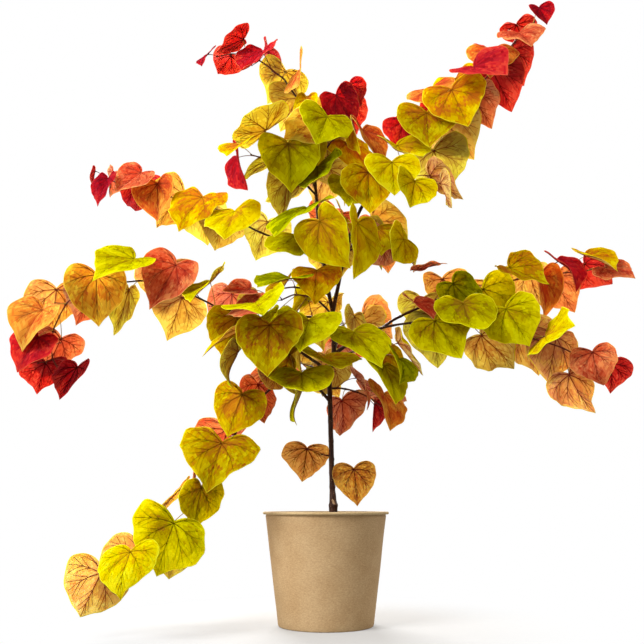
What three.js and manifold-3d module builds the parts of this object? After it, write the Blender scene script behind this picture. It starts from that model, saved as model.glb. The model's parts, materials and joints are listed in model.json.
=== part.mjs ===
// A young redbud tree in autumn leaf, growing in a round fibre pot.
// Millimetres, +Z up.  The origin is the middle of the pot's flat underside, +Y points to the back.
//
// The wood is a leaning trunk that forks into two leaders, with boughs to the sides, front and back.
// Each mass of foliage is one shoot (or two) that carries heart-shaped leaves by turns left and right,
// and every leaf is placed by the same seeded rule, which skips a leaf that finds no free space.

import * as THREE from 'three'
import { mergeVertices } from 'three/addons/utils/BufferGeometryUtils.js'
import Module from 'manifold-3d'

const wasm = await Module()
wasm.setup()

// ---------------------------------------------------------------- driving dimensions

const GAP = 0.3                    // between pieces that touch
const GUARD = GAP * 1.4            // what is cut away round a limb, so that its facets keep the gap too

const POT_HEIGHT = 172
const POT_RIM_RADIUS = 100         // outside of the rolled lip
const POT_BASE_RADIUS = 74
const POT_BASE_EDGE = 1.5          // bevel round the underside
const POT_WALL = 1.8
const POT_FLOOR = 4
const LIP_RADIUS = 2.8             // of the roll itself
const LIP_OVERHANG = 4.2           // the lip stands out from the wall under it by this much
const LIP_ARC = [-100, 200]        // degrees, from the wall's outside over the top to its inside
const LIP_STEPS = 6
const LIP_SEAT = 1                 // the roll's inner end meets the wall this far down
const POT_SIDES = 32

const SOIL_LEVEL = 156

// The trunk, from its flat cut on the soil over the swollen graft to the fork: x, y, z, radius.
const TRUNK_FOOT = SOIL_LEVEL + GAP
const TRUNK = [
  [12, 0, TRUNK_FOOT, 9.0], [12, 0, 172, 6.8], [12, 0, 184, 6.2], [10.5, 0, 205, 4.4], [9, 0, 269, 4.1],
  [7, 0, 350, 4.0], [6, 0, 395, 3.9], [14, 0, 428, 3.9], [12, 0, 498, 3.6],
]
const TRUNK_SIDES = 10

// Leaders and boughs.  `at` is how far up its parent a limb leaves it, from 0 to 1.  `compass` is the
// direction in plan (0 is right, 90 back, 180 left, 270 front) and `rise` the slope over the horizon,
// both in degrees at the limb's foot, middle and tip.  `radius` is at its foot and at its tip.
const LIMBS = [
  { name: 'leader_right', parent: 'trunk', at: 1, compass: [-10, -10, -10], rise: [77, 73, 41],
    length: 262, radius: [3.4, 2.4] },
  { name: 'leader_left', parent: 'trunk', at: 1, compass: [180, 180, 180], rise: [78, 84, 88],
    length: 299, radius: [3.4, 2.3] },
  { name: 'bough_upper_left', parent: 'leader_left', at: 0.29, compass: [165, 165, 165],
    rise: [32, 30, 26], length: 120, radius: [2.2, 1.7] },
  { name: 'bough_mid_left', parent: 'trunk', at: 0.70, compass: [188, 188, 188], rise: [35, 32, 22],
    length: 110, radius: [2.6, 1.9] },
  { name: 'bough_right', parent: 'trunk', at: 0.79, compass: [0, 0, 0], rise: [33, 33, 6],
    length: 93, radius: [3.0, 2.5] },
  { name: 'bough_right_lower', parent: 'bough_right', at: 0.85, compass: [-18, -18, -18],
    rise: [14, 8, 2], length: 60, radius: [2.1, 1.8] },
  { name: 'bough_lower_left', parent: 'trunk', at: 0.56, compass: [203, 203, 203],
    rise: [50, 20, -30], length: 100, radius: [2.4, 1.8] },
  { name: 'bough_back', parent: 'trunk', at: 0.74, compass: [78, 80, 84], rise: [48, 36, 24],
    length: 150, radius: [2.6, 1.9] },
  { name: 'bough_front', parent: 'trunk', at: 0.86, compass: [236, 236, 236], rise: [40, 30, 18],
    length: 60, radius: [2.2, 1.8] },
]
const LIMB_SIDES = 6

// How a leaf is posed.  Each row holds the shares of some directions in a sum: `heading` is the way the
// shoot goes, `outward` the same over the ground, `sideways` the leaf's own side of the shoot and `up`
// the sky.  `jitter` is the most that chance adds in each direction.
const PETIOLE_WAY = { heading: 0.55, sideways: 0.75, up: [0.045, 0.855], jitter: 0.35 }
const LAST_PETIOLE_WAY = { ...PETIOLE_WAY, heading: 1.15, sideways: 0.15 }
const TIP_WAY = { down: 1, outward: 0.35, sideways: 0.15, jitter: 0.42 }
const FACING = { sideways: 0.8, outward: 0.25, up: 0.25, jitter: 0.45 }

// On shoots to the front and back, the leaves face away from the trunk more than to the shoot's side.
const OUTWARD = { facing: { ...FACING, sideways: 0.35, outward: 0.9 } }

// The shoots that carry leaves, each in its mass of foliage.  A shoot that has a mass for its parent
// branches from that mass's first shoot.  `firstLeaf` is the distance to its lowest leaf, `tints` has
// one letter for each leaf from foot to tip, and `widths` are those of the leaves at foot, middle, tip.
const SHOOTS = [
  { mass: 'top_right', parent: 'leader_right', at: 1, compass: [-12, -12, -12], rise: [31, 46, 45],
    length: 365, firstLeaf: 30, tints: 'ylddosrdorsrk', widths: [84, 94, 48], seed: 380 },
  { mass: 'top_right', parent: 'top_right', at: 0.1, compass: [25, 10, 5], rise: [84, 44, 48],
    length: 285, firstLeaf: 50, tints: 'rkoodrdsrr', widths: [74, 82, 46], seed: 122 },
  { mass: 'top_left', parent: 'leader_left', at: 1, compass: [170, 170, 170], rise: [71, 53, -10],
    length: 299, firstLeaf: 15, tints: 'ldyloyrrrk', widths: [80, 84, 44], seed: 82 },
  { mass: 'top_centre', parent: 'leader_left', at: 0.92, compass: [20, 20, 20], rise: [74, 60, 49],
    length: 160, firstLeaf: 25, tints: 'yodsrrrk', widths: [80, 74, 36], seed: 1 },
  { mass: 'upper_left', parent: 'bough_upper_left', at: 1, compass: [165, 165, 165], rise: [26, 22, 14],
    length: 350, firstLeaf: 12, tints: 'lyydyrdosdrdsr', widths: [84, 88, 48], seed: 346 },
  { mass: 'mid_left', parent: 'bough_mid_left', at: 1, compass: [188, 188, 188], rise: [26, 2, -132],
    length: 480, firstLeaf: 10, tints: 'lbsldstlltsdtosorrk', widths: [80, 92, 60], seed: 59 },
  { mass: 'right_upper', parent: 'bough_right', at: 1, compass: [15, 15, 15], rise: [40, 15, 12],
    length: 454, firstLeaf: 40, tints: 'slgtldbtodrodrsr', widths: [78, 92, 66], seed: 46 },
  { mass: 'right_lower', parent: 'bough_right_lower', at: 1, compass: [-18, -18, -18], rise: [6, -16, -38],
    length: 299, firstLeaf: 8, tints: 'lglbltdtosrs', widths: [88, 86, 56], seed: 57 },
  { mass: 'lower_left', parent: 'bough_lower_left', at: 1, compass: [203, 203, 203], rise: [-30, -66, -2],
    length: 375, firstLeaf: 5, tints: 'sbsdsldlyltyd', widths: [74, 92, 88], seed: 5 },
  { mass: 'front_upper', parent: 'leader_left', at: 0.36, compass: [278, 276, 274], rise: [25, -8, -45],
    length: 150, firstLeaf: 22, tints: 'lygylydl', widths: [90, 104, 74], seed: 129, ...OUTWARD },
  { mass: 'front_high', parent: 'leader_left', at: 0.7, compass: [215, 225, 235], rise: [40, 15, -10],
    length: 150, firstLeaf: 18, tints: 'lglbylyd', widths: [84, 92, 60], seed: 222, ...OUTWARD },
  { mass: 'crown_front', parent: 'leader_left', at: 0.86, compass: [300, 300, 300], rise: [40, 10, -20],
    length: 110, firstLeaf: 16, tints: 'ldtosd', widths: [84, 88, 60], seed: 25, ...OUTWARD },
  { mass: 'crown_right', parent: 'leader_right', at: 0.74, compass: [-62, -50, -40], rise: [30, 0, -30],
    length: 150, firstLeaf: 16, tints: 'lydtostd', widths: [84, 92, 60], seed: 365, ...OUTWARD },
  { mass: 'centre_right', parent: 'leader_right', at: 0.4, compass: [-50, -30, -20], rise: [20, -10, -50],
    length: 130, firstLeaf: 16, tints: 'tsbytsts', widths: [82, 82, 60], seed: 56, ...OUTWARD },
  { mass: 'centre_left', parent: 'leader_left', at: 0.1, compass: [215, 205, 195], rise: [20, -5, -25],
    length: 120, firstLeaf: 18, tints: 'ytbsldbs', widths: [78, 80, 56], seed: 114, ...OUTWARD },
  { mass: 'centre_front', parent: 'trunk', at: 0.98, compass: [236, 224, 212], rise: [40, 5, -30],
    length: 120, firstLeaf: 20, tints: 'ytlblds', widths: [80, 84, 60], seed: 188, ...OUTWARD },
  { mass: 'front_middle', parent: 'bough_front', at: 1, compass: [230, 220, 208], rise: [0, -25, -50],
    length: 150, firstLeaf: 8, tints: 'yblbdlly', widths: [82, 90, 70], seed: 242, ...OUTWARD },
  { mass: 'front_low_right', parent: 'trunk', at: 0.76, compass: [320, 315, 310], rise: [25, 0, -30],
    length: 110, firstLeaf: 18, tints: 'lblbldg', widths: [78, 88, 60], seed: 306, ...OUTWARD },
  { mass: 'front_low_left', parent: 'trunk', at: 0.64, compass: [240, 230, 220], rise: [20, 0, -30],
    length: 110, firstLeaf: 18, tints: 'lbdltbd', widths: [78, 84, 60], seed: 174, ...OUTWARD },
  { mass: 'low_right', parent: 'trunk', at: 0.62, compass: [50, 35, 20], rise: [10, -10, -40],
    length: 110, firstLeaf: 16, tints: 'srsrorr', widths: [76, 80, 56], seed: 343, ...OUTWARD },
  { mass: 'back_middle', parent: 'bough_back', at: 1, compass: [84, 86, 90], rise: [24, 5, -20],
    length: 230, firstLeaf: 10, tints: 'lydlosdsrr', widths: [80, 84, 44], seed: 285, ...OUTWARD },
  { mass: 'back_low', parent: 'trunk', at: 0.66, compass: [125, 118, 108], rise: [35, 10, -25],
    length: 230, firstLeaf: 45, tints: 'bldsyoosr', widths: [76, 80, 46], seed: 180, ...OUTWARD },
  { mass: 'back_upper', parent: 'leader_right', at: 0.38, compass: [72, 78, 84], rise: [42, 26, 10],
    length: 260, firstLeaf: 28, tints: 'lyddosdosrr', widths: [80, 84, 42], seed: 339, ...OUTWARD },
  { mass: 'back_high', parent: 'leader_left', at: 0.72, compass: [110, 104, 98], rise: [55, 40, 20],
    length: 190, firstLeaf: 22, tints: 'ylddosrr', widths: [78, 76, 42], seed: 29, ...OUTWARD },
  { mass: 'stem_leaf_left', parent: 'trunk', at: 0.3, compass: [170, 170, 170], rise: [10, 10, 10],
    length: 14, firstLeaf: 12, tints: 's', widths: [66, 66, 66], seed: 284 },
  { mass: 'stem_leaf_right', parent: 'trunk', at: 0.22, compass: [350, 350, 350], rise: [10, 10, 10],
    length: 14, firstLeaf: 12, tints: 't', widths: [66, 66, 66], seed: 64 },
]

// Autumn tints by letter, from the green leaves near the trunk to the red ones at the tips.
const TINTS = {
  g: 0x68801a, l: 0xaaac22, y: 0xd6b834, b: 0x80682c, d: 0xbe8e28,
  t: 0xb07446, o: 0xd67030, s: 0xc66848, r: 0xc42a20, k: 0x7a1018,
}

const TWIG_RADIUS = [1.9, 1.1]     // of a shoot, at its foot and tip
const TWIG_SIDES = 3
const PETIOLE_RADIUS = 0.8
const PETIOLE_ROOT = 0.6           // a petiole starts this far from its shoot's axis or end, inside it
const PETIOLE_BITE = [2.0, 4.5]    // and ends inside the blade: beside the midrib, and in from the notch
const STEP = 24                    // length of one straight piece of a limb or shoot
const MIN_STEPS = 3
const KINK = 7                     // a shoot turns by up to this many degrees at each joint

// Half of the heart outline for a blade one unit wide, from the notch down the side to the tip.
const HEART_SIDE = [[0.31, -0.13], [0.50, 0.13], [0.32, 0.54]]
const HEART_TIP = 0.80
const HEART_MIDDLE = 0.3           // down from the notch
const LEAF_THICKNESS = 1.2
const FOLD = [4, 22]               // degrees that each half folds up from the midrib
const WIDTH_CHANCE = [0.9, 1.1]    // times the width that its place on the shoot gives
const PETIOLE_LENGTH = [0.36, 0.6] // times the blade's width
const CROWDING = 0.88              // under 1, so that leaves stand closer towards the tip
const UPRIGHT = 0.2                // a heading with less than this over the ground goes by the compass

const TRIES = 8                    // poses that are tried before a leaf is skipped
const TRY_WIDER = 0.2              // each try adds this share to the jitter
const SEEDS_PER_LEAF = 20
const SEEDS_PER_SHOOT = 1000

// Clear space round a leaf's middle surface: to other leaves, to twigs and to limbs.
const CLEAR_OF_LEAF = 1.1
const CLEAR_OF_TWIG = 2.6
const CLEAR_OF_LIMB = 6.5
const OUTLINE_GROWTH = 2.2         // times the clear space, by which the outline grows too
// Clear space round a petiole, tested at points from its root on, to twigs and petioles of other masses.
const CLEAR_OF_STALK = 3
const STALK_POINTS = 9
const STALK_ROOT = 7               // the stretch at its root that isn't tested
const STALK_ENDS = [6, 5]          // the same at its root and at its blade, where leaves are tested
// Pieces further from a leaf than this aren't tested: the blade's own reach and theirs.
const BLADE_REACH = 0.62           // times the blade's width
const TWIG_REACH = 16
const LIMB_REACH = 30
const LEAF_REACH = [0.7, 10]       // times both widths, and a little more
const STALK_REACH = 120

// ---------------------------------------------------------------- small tools

const SAME_PLACE = 1e-5            // vertices closer than this are one
const UP = new THREE.Vector3(0, 0, 1)
const radians = THREE.MathUtils.degToRad
const vector = (x, y, z) => new THREE.Vector3(x, y, z)
const plus = (a, b, k = 1) => a.clone().addScaledVector(b, k)
const times = (a, k) => a.clone().multiplyScalar(k)
const cross = (a, b) => new THREE.Vector3().crossVectors(a, b)
const between = ([low, high], share) => THREE.MathUtils.lerp(low, high, share)

/** The quadratic through a, b and c at t = 0, 1/2 and 1. */
const quadratic = ([a, b, c], t) => a * (1 - t) * (1 - 2 * t) + b * 4 * t * (1 - t) + c * t * (2 * t - 1)

/** The Park-Miller generator: a function that gives the next number between 0 and 1. */
function draws(seed) {
  const PRIME = 2147483647
  let state = (seed * 7919 + 104729) % PRIME
  const next = () => {
    state = (state * 16807) % PRIME
    return state / PRIME
  }
  for (let k = 0; k < 3; k++) next()
  return next
}

/** A shoot's joints: STEP apart, with compass and rise that change evenly and kink a little. */
function growPath(start, compass, rise, length, kink, draw) {
  const count = Math.max(MIN_STEPS, Math.round(length / STEP))
  const path = [start.clone()]
  for (let i = 0; i < count; i++) {
    const t = (i + 0.5) / count
    const turn = radians(quadratic(compass, t) + kink * (2 * draw() - 1))
    const slope = radians(quadratic(rise, t) + kink * (2 * draw() - 1))
    const flat = Math.cos(slope)
    const heading = vector(Math.cos(turn) * flat, Math.sin(turn) * flat, Math.sin(slope))
    path.push(plus(path[i], heading, length / count))
  }
  return path
}

const pathLength = (path) => path.slice(1).reduce((sum, p, i) => sum + p.distanceTo(path[i]), 0)

/** The point and the heading at a distance along a path. */
function along(path, distance) {
  let left = Math.min(Math.max(distance, 0), pathLength(path) - 1e-6)
  let k = 0
  while (left >= path[k + 1].distanceTo(path[k])) {
    left -= path[k + 1].distanceTo(path[k])
    k += 1
  }
  const heading = path[k + 1].clone().sub(path[k]).normalize()
  return { point: plus(path[k], heading, left), heading }
}

// ---------------------------------------------------------------- solids

/** Shared vertices only, without the empty triangles that a turned section has on its axis. */
function merged(geometry) {
  geometry.deleteAttribute('normal')
  geometry.deleteAttribute('uv')
  const shared = mergeVertices(geometry, SAME_PLACE)
  const index = Array.from(shared.index.array)
  const corners = Array.from({ length: index.length / 3 }, (_, k) => index.slice(3 * k, 3 * k + 3))
  shared.setIndex(corners.filter(([a, b, c]) => a !== b && b !== c && c !== a).flat())
  return shared
}

function toManifold(geometry) {
  const shared = merged(geometry)
  return new wasm.Manifold(new wasm.Mesh({
    numProp: 3,
    vertProperties: new Float32Array(shared.attributes.position.array),
    triVerts: new Uint32Array(shared.index.array),
  }))
}

function fromManifold(solid) {
  const mesh = solid.getMesh()
  const geometry = new THREE.BufferGeometry()
  geometry.setAttribute('position', new THREE.BufferAttribute(new Float32Array(mesh.vertProperties), 3))
  geometry.setIndex(new THREE.BufferAttribute(new Uint32Array(mesh.triVerts), 1))
  return geometry
}

/** The largest of a solid's loose pieces, so that a scrap that a cut leaves is dropped. */
function largestPiece(solid) {
  return solid.decompose().reduce((best, piece) => (piece.volume() > best.volume() ? piece : best))
}

/**
 * A round limb: a cylinder of one unit bent along the path, with a radius for each joint.  Its sections
 * are lined up by the world axis that the path comes least close to.
 */
function limbGeometry(path, radii, sides) {
  const count = path.length - 1
  const tangents = path.map((p, i) =>
    path[Math.min(i + 1, count)].clone().sub(path[Math.max(i - 1, 0)]).normalize())
  const axes = [vector(1, 0, 0), vector(0, 1, 0), vector(0, 0, 1)]
  const closeness = axes.map((axis) => Math.max(...tangents.map((t) => Math.abs(t.dot(axis)))))
  const reference = axes[closeness.indexOf(Math.min(...closeness))]
  const geometry = new THREE.CylinderGeometry(1, 1, 1, sides, count)
  const position = geometry.attributes.position
  for (let v = 0; v < position.count; v++) {
    const i = Math.round((position.getY(v) + 0.5) * count)
    const side = cross(tangents[i], reference).normalize()
    const other = cross(side, tangents[i])
    const p = plus(plus(path[i], side, position.getX(v) * radii[i]), other, position.getZ(v) * radii[i])
    position.setXYZ(v, p.x, p.y, p.z)
  }
  return geometry
}

/** Radii that taper evenly from the first joint of a path to its last. */
const taper = (path, [foot, tip]) => path.map((p, i) => foot + (tip - foot) * i / (path.length - 1))

// ---------------------------------------------------------------- one leaf blade

// A blade is { origin, right, axis, normal, size, fold }: its notch, the direction to its right lobe,
// the direction to its tip, its upper side, its width, and how far its halves fold up from the midrib.

const HEART = [
  [0, 0], ...HEART_SIDE, [0, HEART_TIP], ...HEART_SIDE.toReversed().map(([x, y]) => [-x, y]),
]
const TIP = HEART_SIDE.length + 1
const CORNERS = HEART.length

/** The outline's corners, raised off the middle surface, with the outline grown about its middle. */
function bladeCorners({ origin, right, axis, normal, size, fold }, raise, grow = 1) {
  return HEART.map(([x, y]) => {
    const across = x * grow * size
    const down = ((y - HEART_MIDDLE) * grow + HEART_MIDDLE) * size
    const up = Math.abs(across) * Math.tan(fold) + raise
    return plus(plus(plus(origin, right, across), axis, down), normal, up)
  })
}

/** Triangles of one face: each half is a fan, from the notch on one side and from the tip on the other. */
const FACE = []
for (let k = 1; k < TIP; k++) FACE.push([0, k, k + 1])
for (let k = TIP + 1; k < CORNERS; k++) FACE.push([TIP, k, (k + 1) % CORNERS])

/** A closed plate: the upper face, the lower face turned over, and the rim between them. */
function plate(blade, half, grow) {
  const corners = [...bladeCorners(blade, half, grow), ...bladeCorners(blade, -half, grow)]
  const triangles = []
  for (const [a, b, c] of FACE) {
    triangles.push([a, b, c], [a + CORNERS, c + CORNERS, b + CORNERS])
  }
  for (let k = 0; k < CORNERS; k++) {
    const next = (k + 1) % CORNERS
    triangles.push([k, k + CORNERS, next + CORNERS], [k, next + CORNERS, next])
  }
  return { corners, triangles }
}

function plateGeometry(blade) {
  const { corners, triangles } = plate(blade, LEAF_THICKNESS / 2, 1)
  const geometry = new THREE.BufferGeometry()
  geometry.setAttribute('position', new THREE.Float32BufferAttribute(corners.flatMap((p) => p.toArray()), 3))
  geometry.setIndex(triangles.flat())
  return geometry
}

// ---------------------------------------------------------------- is a place free?

/** A blade with clear space round it: its triangles as corner points and its edges as point pairs. */
function clearance(blade, margin) {
  const { corners, triangles } = plate(blade, margin, 1 + OUTLINE_GROWTH * margin / blade.size)
  const edges = []
  for (let k = 0; k < CORNERS; k++) {
    const next = (k + 1) % CORNERS
    edges.push([corners[k], corners[next]], [corners[k + CORNERS], corners[next + CORNERS]])
    edges.push([corners[k], corners[k + CORNERS]])
  }
  edges.push([corners[0], corners[TIP]], [corners[CORNERS], corners[TIP + CORNERS]])
  return { faces: triangles.map((t) => t.map((i) => corners[i])), edges }
}

/** Does a segment pass through a triangle? */
function pierces([from, to], [a, b, c]) {
  const direction = to.clone().sub(from)
  const e1 = b.clone().sub(a)
  const e2 = c.clone().sub(a)
  const p = cross(direction, e2)
  const determinant = e1.dot(p)
  if (Math.abs(determinant) < 1e-12) return false
  const s = from.clone().sub(a)
  const u = s.dot(p) / determinant
  if (u < 0 || u > 1) return false
  const q = cross(s, e1)
  const v = direction.dot(q) / determinant
  if (v < 0 || u + v > 1) return false
  const t = e2.dot(q) / determinant
  return t >= 0 && t <= 1
}

const anyPierces = (segments, faces) => segments.some((s) => faces.some((f) => pierces(s, f)))

const segmentsOf = (path) => path.slice(1).map((p, i) => [path[i], p])
const middleOf = ([a, b]) => plus(a, b).multiplyScalar(0.5)

/** Are all the points further than a distance from all the segments? */
function allClear(points, segments, distance) {
  const nearest = new THREE.Vector3()
  const line = new THREE.Line3()
  return segments.every(([a, b]) => {
    line.set(a, b)
    return points.every((p) => line.closestPointToPoint(p, true, nearest).distanceTo(p) > distance)
  })
}

// ---------------------------------------------------------------- growing the wood

const limbs = new Map()
limbs.set('trunk', { path: TRUNK.map(([x, y, z]) => vector(x, y, z)), radii: TRUNK.map((row) => row[3]) })
for (const { name, parent, at, compass, rise, length, radius } of LIMBS) {
  const host = limbs.get(parent).path
  const { point } = along(host, at * pathLength(host))
  const path = growPath(point, compass, rise, length, 0, draws(1))
  limbs.set(name, { path, radii: taper(path, radius), parent })
}

const shoots = []
for (const row of SHOOTS) {
  const host = limbs.get(row.parent) ?? shoots.find((shoot) => shoot.mass === row.mass)
  const { point } = along(host.path, row.at * pathLength(host.path))
  const path = growPath(point, row.compass, row.rise, row.length, KINK, draws(row.seed))
  shoots.push({ ...row, path, leaves: [] })
}

const limbSegments = [...limbs.values()].flatMap(({ path }) => segmentsOf(path))
const twigSegments = shoots.flatMap(({ mass, path }) =>
  segmentsOf(path).map((segment) => ({ mass, segment })))

// ---------------------------------------------------------------- growing the leaves

/** One pose of a leaf: its petiole from the shoot's joint and its blade, from thirteen random numbers. */
function pose(shoot, index, attempt) {
  const { tints, widths, compass, length, firstLeaf, seed, facing = FACING } = shoot
  const last = index === tints.length - 1
  const share = tints.length > 1 ? index / (tints.length - 1) : 1
  const { point, heading } = along(shoot.path, firstLeaf + (length - firstLeaf) * share ** CROWDING)
  const turn = index % 2 === 0 ? 1 : -1
  const outward = vector(heading.x, heading.y, 0)
  if (outward.length() < UPRIGHT) outward.set(Math.cos(radians(compass[1])), Math.sin(radians(compass[1])), 0)
  outward.normalize()
  const sideways = cross(outward, UP).normalize().multiplyScalar(turn)
  const offShoot = cross(times(sideways, turn), heading)

  const draw = draws(seed * SEEDS_PER_SHOOT + index * SEEDS_PER_LEAF + attempt)
  const d = Array.from({ length: 13 }, draw)
  const spread = 1 + TRY_WIDER * attempt
  const jitter = (k, { jitter: most }) =>
    vector(2 * d[k] - 1, 2 * d[k + 1] - 1, 2 * d[k + 2] - 1).multiplyScalar(most * spread)

  const way = last ? LAST_PETIOLE_WAY : PETIOLE_WAY
  const reach = times(heading, way.heading)
    .addScaledVector(sideways, way.sideways)
    .addScaledVector(offShoot, between(way.up, d[1]))
    .add(jitter(2, way)).normalize()
  const size = quadratic(widths, share) * between(WIDTH_CHANCE, d[0])
  const petiole = size * between(PETIOLE_LENGTH, d[5])
  const origin = plus(point, reach, petiole)
  const axis = times(UP, -TIP_WAY.down)
    .addScaledVector(outward, TIP_WAY.outward)
    .addScaledVector(sideways, TIP_WAY.sideways)
    .add(jitter(6, TIP_WAY)).normalize()
  const face = times(sideways, facing.sideways)
    .addScaledVector(outward, facing.outward)
    .addScaledVector(UP, facing.up)
    .add(jitter(9, facing))
  const normal = face.addScaledVector(axis, -face.dot(axis)).normalize()
  const right = cross(axis, normal)
  const fold = radians(between(FOLD, d[12]))
  const blade = { origin, right, axis, normal, size, fold }
  return { mass: shoot.mass, tint: tints[index], last, root: point, reach, petiole, blade }
}

const grown = []

/** Is a pose clear of the limbs, of all twigs and petioles, and of the leaves that are there? */
function isFree(leaf) {
  const { blade, root, reach, petiole, mass } = leaf
  const { origin, axis, size } = blade
  leaf.centre = plus(origin, axis, size * HEART_MIDDLE)
  leaf.stalk = [plus(root, reach, STALK_ENDS[0]), plus(origin, reach, -STALK_ENDS[1])]
  leaf.thin = clearance(blade, CLEAR_OF_LEAF)
  leaf.fat = clearance(blade, CLEAR_OF_TWIG)
  const near = (segments, extra) =>
    segments.filter((s) => middleOf(s).distanceTo(leaf.centre) < size * BLADE_REACH + extra)
  if (anyPierces(near(twigSegments.map((t) => t.segment), TWIG_REACH), leaf.fat.faces)) return false
  if (anyPierces(near(limbSegments, LIMB_REACH), clearance(blade, CLEAR_OF_LIMB).faces)) return false

  const points = Array.from({ length: STALK_POINTS }, (_, k) =>
    plus(root, reach, between([STALK_ROOT, petiole], k / (STALK_POINTS - 1))))
  const otherTwigs = twigSegments.filter((t) => t.mass !== mass).map((t) => t.segment)
  const otherStalks = grown.filter((o) => o.mass !== mass && o.root.distanceTo(root) < STALK_REACH)
    .map((o) => [o.root, o.blade.origin])
  if (!allClear(points, limbSegments, CLEAR_OF_LIMB)) return false
  if (!allClear(points, [...otherTwigs, ...otherStalks], CLEAR_OF_STALK)) return false

  return grown.every((other) => {
    const reachOfBoth = (size + other.blade.size) * LEAF_REACH[0] + LEAF_REACH[1]
    if (other.centre.distanceTo(leaf.centre) > reachOfBoth) return true
    return !anyPierces(leaf.thin.edges, other.thin.faces) && !anyPierces(other.thin.edges, leaf.thin.faces)
      && !anyPierces([leaf.stalk], other.fat.faces) && !anyPierces([other.stalk], leaf.fat.faces)
  })
}

for (const shoot of shoots) {
  for (let index = 0; index < shoot.tints.length; index++) {
    for (let attempt = 0; attempt < TRIES; attempt++) {
      const leaf = pose(shoot, index, attempt)
      if (!isFree(leaf)) continue
      shoot.leaves.push(leaf)
      grown.push(leaf)
      break
    }
  }
}

// ---------------------------------------------------------------- pot and soil

/** The rolled lip's section, round its centre, from the wall's outside over the top to its inside. */
function lipSection(centre, radius) {
  return Array.from({ length: LIP_STEPS + 1 }, (_, k) => {
    const angle = radians(between(LIP_ARC, k / LIP_STEPS))
    return new THREE.Vector2(centre.x + radius * Math.cos(angle), centre.y + radius * Math.sin(angle))
  })
}

/** Turn a closed half section about the upright axis. */
function turned(section, sides) {
  return new THREE.LatheGeometry(section, sides).rotateX(Math.PI / 2)
}

const wallTop = POT_HEIGHT - 2 * LIP_RADIUS
const wallRadius = (z) => POT_BASE_RADIUS + (POT_RIM_RADIUS - LIP_OVERHANG - POT_BASE_RADIUS) * z / wallTop
const lipCentre = new THREE.Vector2(POT_RIM_RADIUS - LIP_RADIUS, POT_HEIGHT - LIP_RADIUS)

const potSection = [
  new THREE.Vector2(0, 0),
  new THREE.Vector2(POT_BASE_RADIUS - POT_BASE_EDGE, 0),
  new THREE.Vector2(wallRadius(POT_BASE_EDGE), POT_BASE_EDGE),
  new THREE.Vector2(wallRadius(wallTop), wallTop),
  ...lipSection(lipCentre, LIP_RADIUS),
  new THREE.Vector2(wallRadius(wallTop) - POT_WALL, wallTop - LIP_SEAT),
  new THREE.Vector2(wallRadius(POT_FLOOR) - POT_WALL, POT_FLOOR),
  new THREE.Vector2(0, POT_FLOOR),
]

const soilRadius = (z) => wallRadius(z) - POT_WALL - 2 * GAP
const soilFoot = POT_FLOOR + GAP
const soilSection = [
  new THREE.Vector2(0, soilFoot),
  new THREE.Vector2(soilRadius(soilFoot), soilFoot),
  new THREE.Vector2(soilRadius(SOIL_LEVEL), SOIL_LEVEL),
  new THREE.Vector2(0, SOIL_LEVEL),
]

// ---------------------------------------------------------------- assembly

const KRAFT = { color: 0xb8935f, roughness: 0.85 }
const SOIL = { color: 0x2f221a, roughness: 1.0 }
const BARK = { color: 0x4a3024, roughness: 0.8 }
const LEAF_ROUGHNESS = 0.6

const tree = new THREE.Group()

function add(name, geometry, finish) {
  const mesh = new THREE.Mesh(geometry, new THREE.MeshStandardMaterial(finish))
  mesh.name = name
  tree.add(mesh)
}

add('pot', merged(turned(potSection, POT_SIDES)), KRAFT)
add('potting_soil', merged(turned(soilSection, POT_SIDES)), SOIL)

/** A limb as a solid, made thicker all round by `extra`. */
function limbSolid(name, extra = 0) {
  const { path, radii } = limbs.get(name)
  const sides = name === 'trunk' ? TRUNK_SIDES : LIMB_SIDES
  return toManifold(limbGeometry(path, radii.map((r) => r + extra), sides))
}

/** Cut a solid clear of the limbs that were made before it, and keep its largest piece. */
const guards = []
const cutClear = (solid) => largestPiece(guards.reduce((rest, guard) => rest.subtract(guard), solid))

for (const name of limbs.keys()) {
  add(name, fromManifold(cutClear(limbSolid(name))), BARK)
  guards.push(limbSolid(name, GUARD))
}

/**
 * A leaf as one solid: its blade, and its petiole from inside the shoot to inside one half of the blade.
 * The last petiole grows on from the shoot's end, so it starts short of it.
 */
function leafSolid({ root, last, blade }) {
  const { origin, axis, right, normal, fold } = blade
  const [beside, inside] = PETIOLE_BITE
  const end = plus(plus(plus(origin, axis, inside), right, beside), normal, beside * Math.tan(fold))
  const direction = end.clone().sub(root).normalize()
  const stalk = [plus(root, direction, last ? -PETIOLE_ROOT : PETIOLE_ROOT), end]
  return toManifold(plateGeometry(blade))
    .add(toManifold(limbGeometry(stalk, [PETIOLE_RADIUS, PETIOLE_RADIUS], TWIG_SIDES)))
}

for (const mass of new Set(shoots.map((shoot) => shoot.mass))) {
  const own = shoots.filter((shoot) => shoot.mass === mass)
  let solid
  for (const shoot of own) {
    const path = shoot.path.slice()
    const onTip = limbs.has(shoot.parent) && shoot.at === 1
    if (onTip) path[0] = plus(path[0], path[1].clone().sub(path[0]).normalize(), GAP)
    const stem = toManifold(limbGeometry(path, taper(path, TWIG_RADIUS), TWIG_SIDES))
    solid = shoot.leaves.map(leafSolid).reduce((sum, leaf) => sum.add(leaf), solid ? solid.add(stem) : stem)
  }
  const leaves = own.flatMap((shoot) => shoot.leaves)
  const color = new THREE.Color(0)
  for (const leaf of leaves) color.add(new THREE.Color(TINTS[leaf.tint]).multiplyScalar(1 / leaves.length))
  add(`foliage_${mass}`, fromManifold(cutClear(solid)), { color, roughness: LEAF_ROUGHNESS })
}

export default tree
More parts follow.
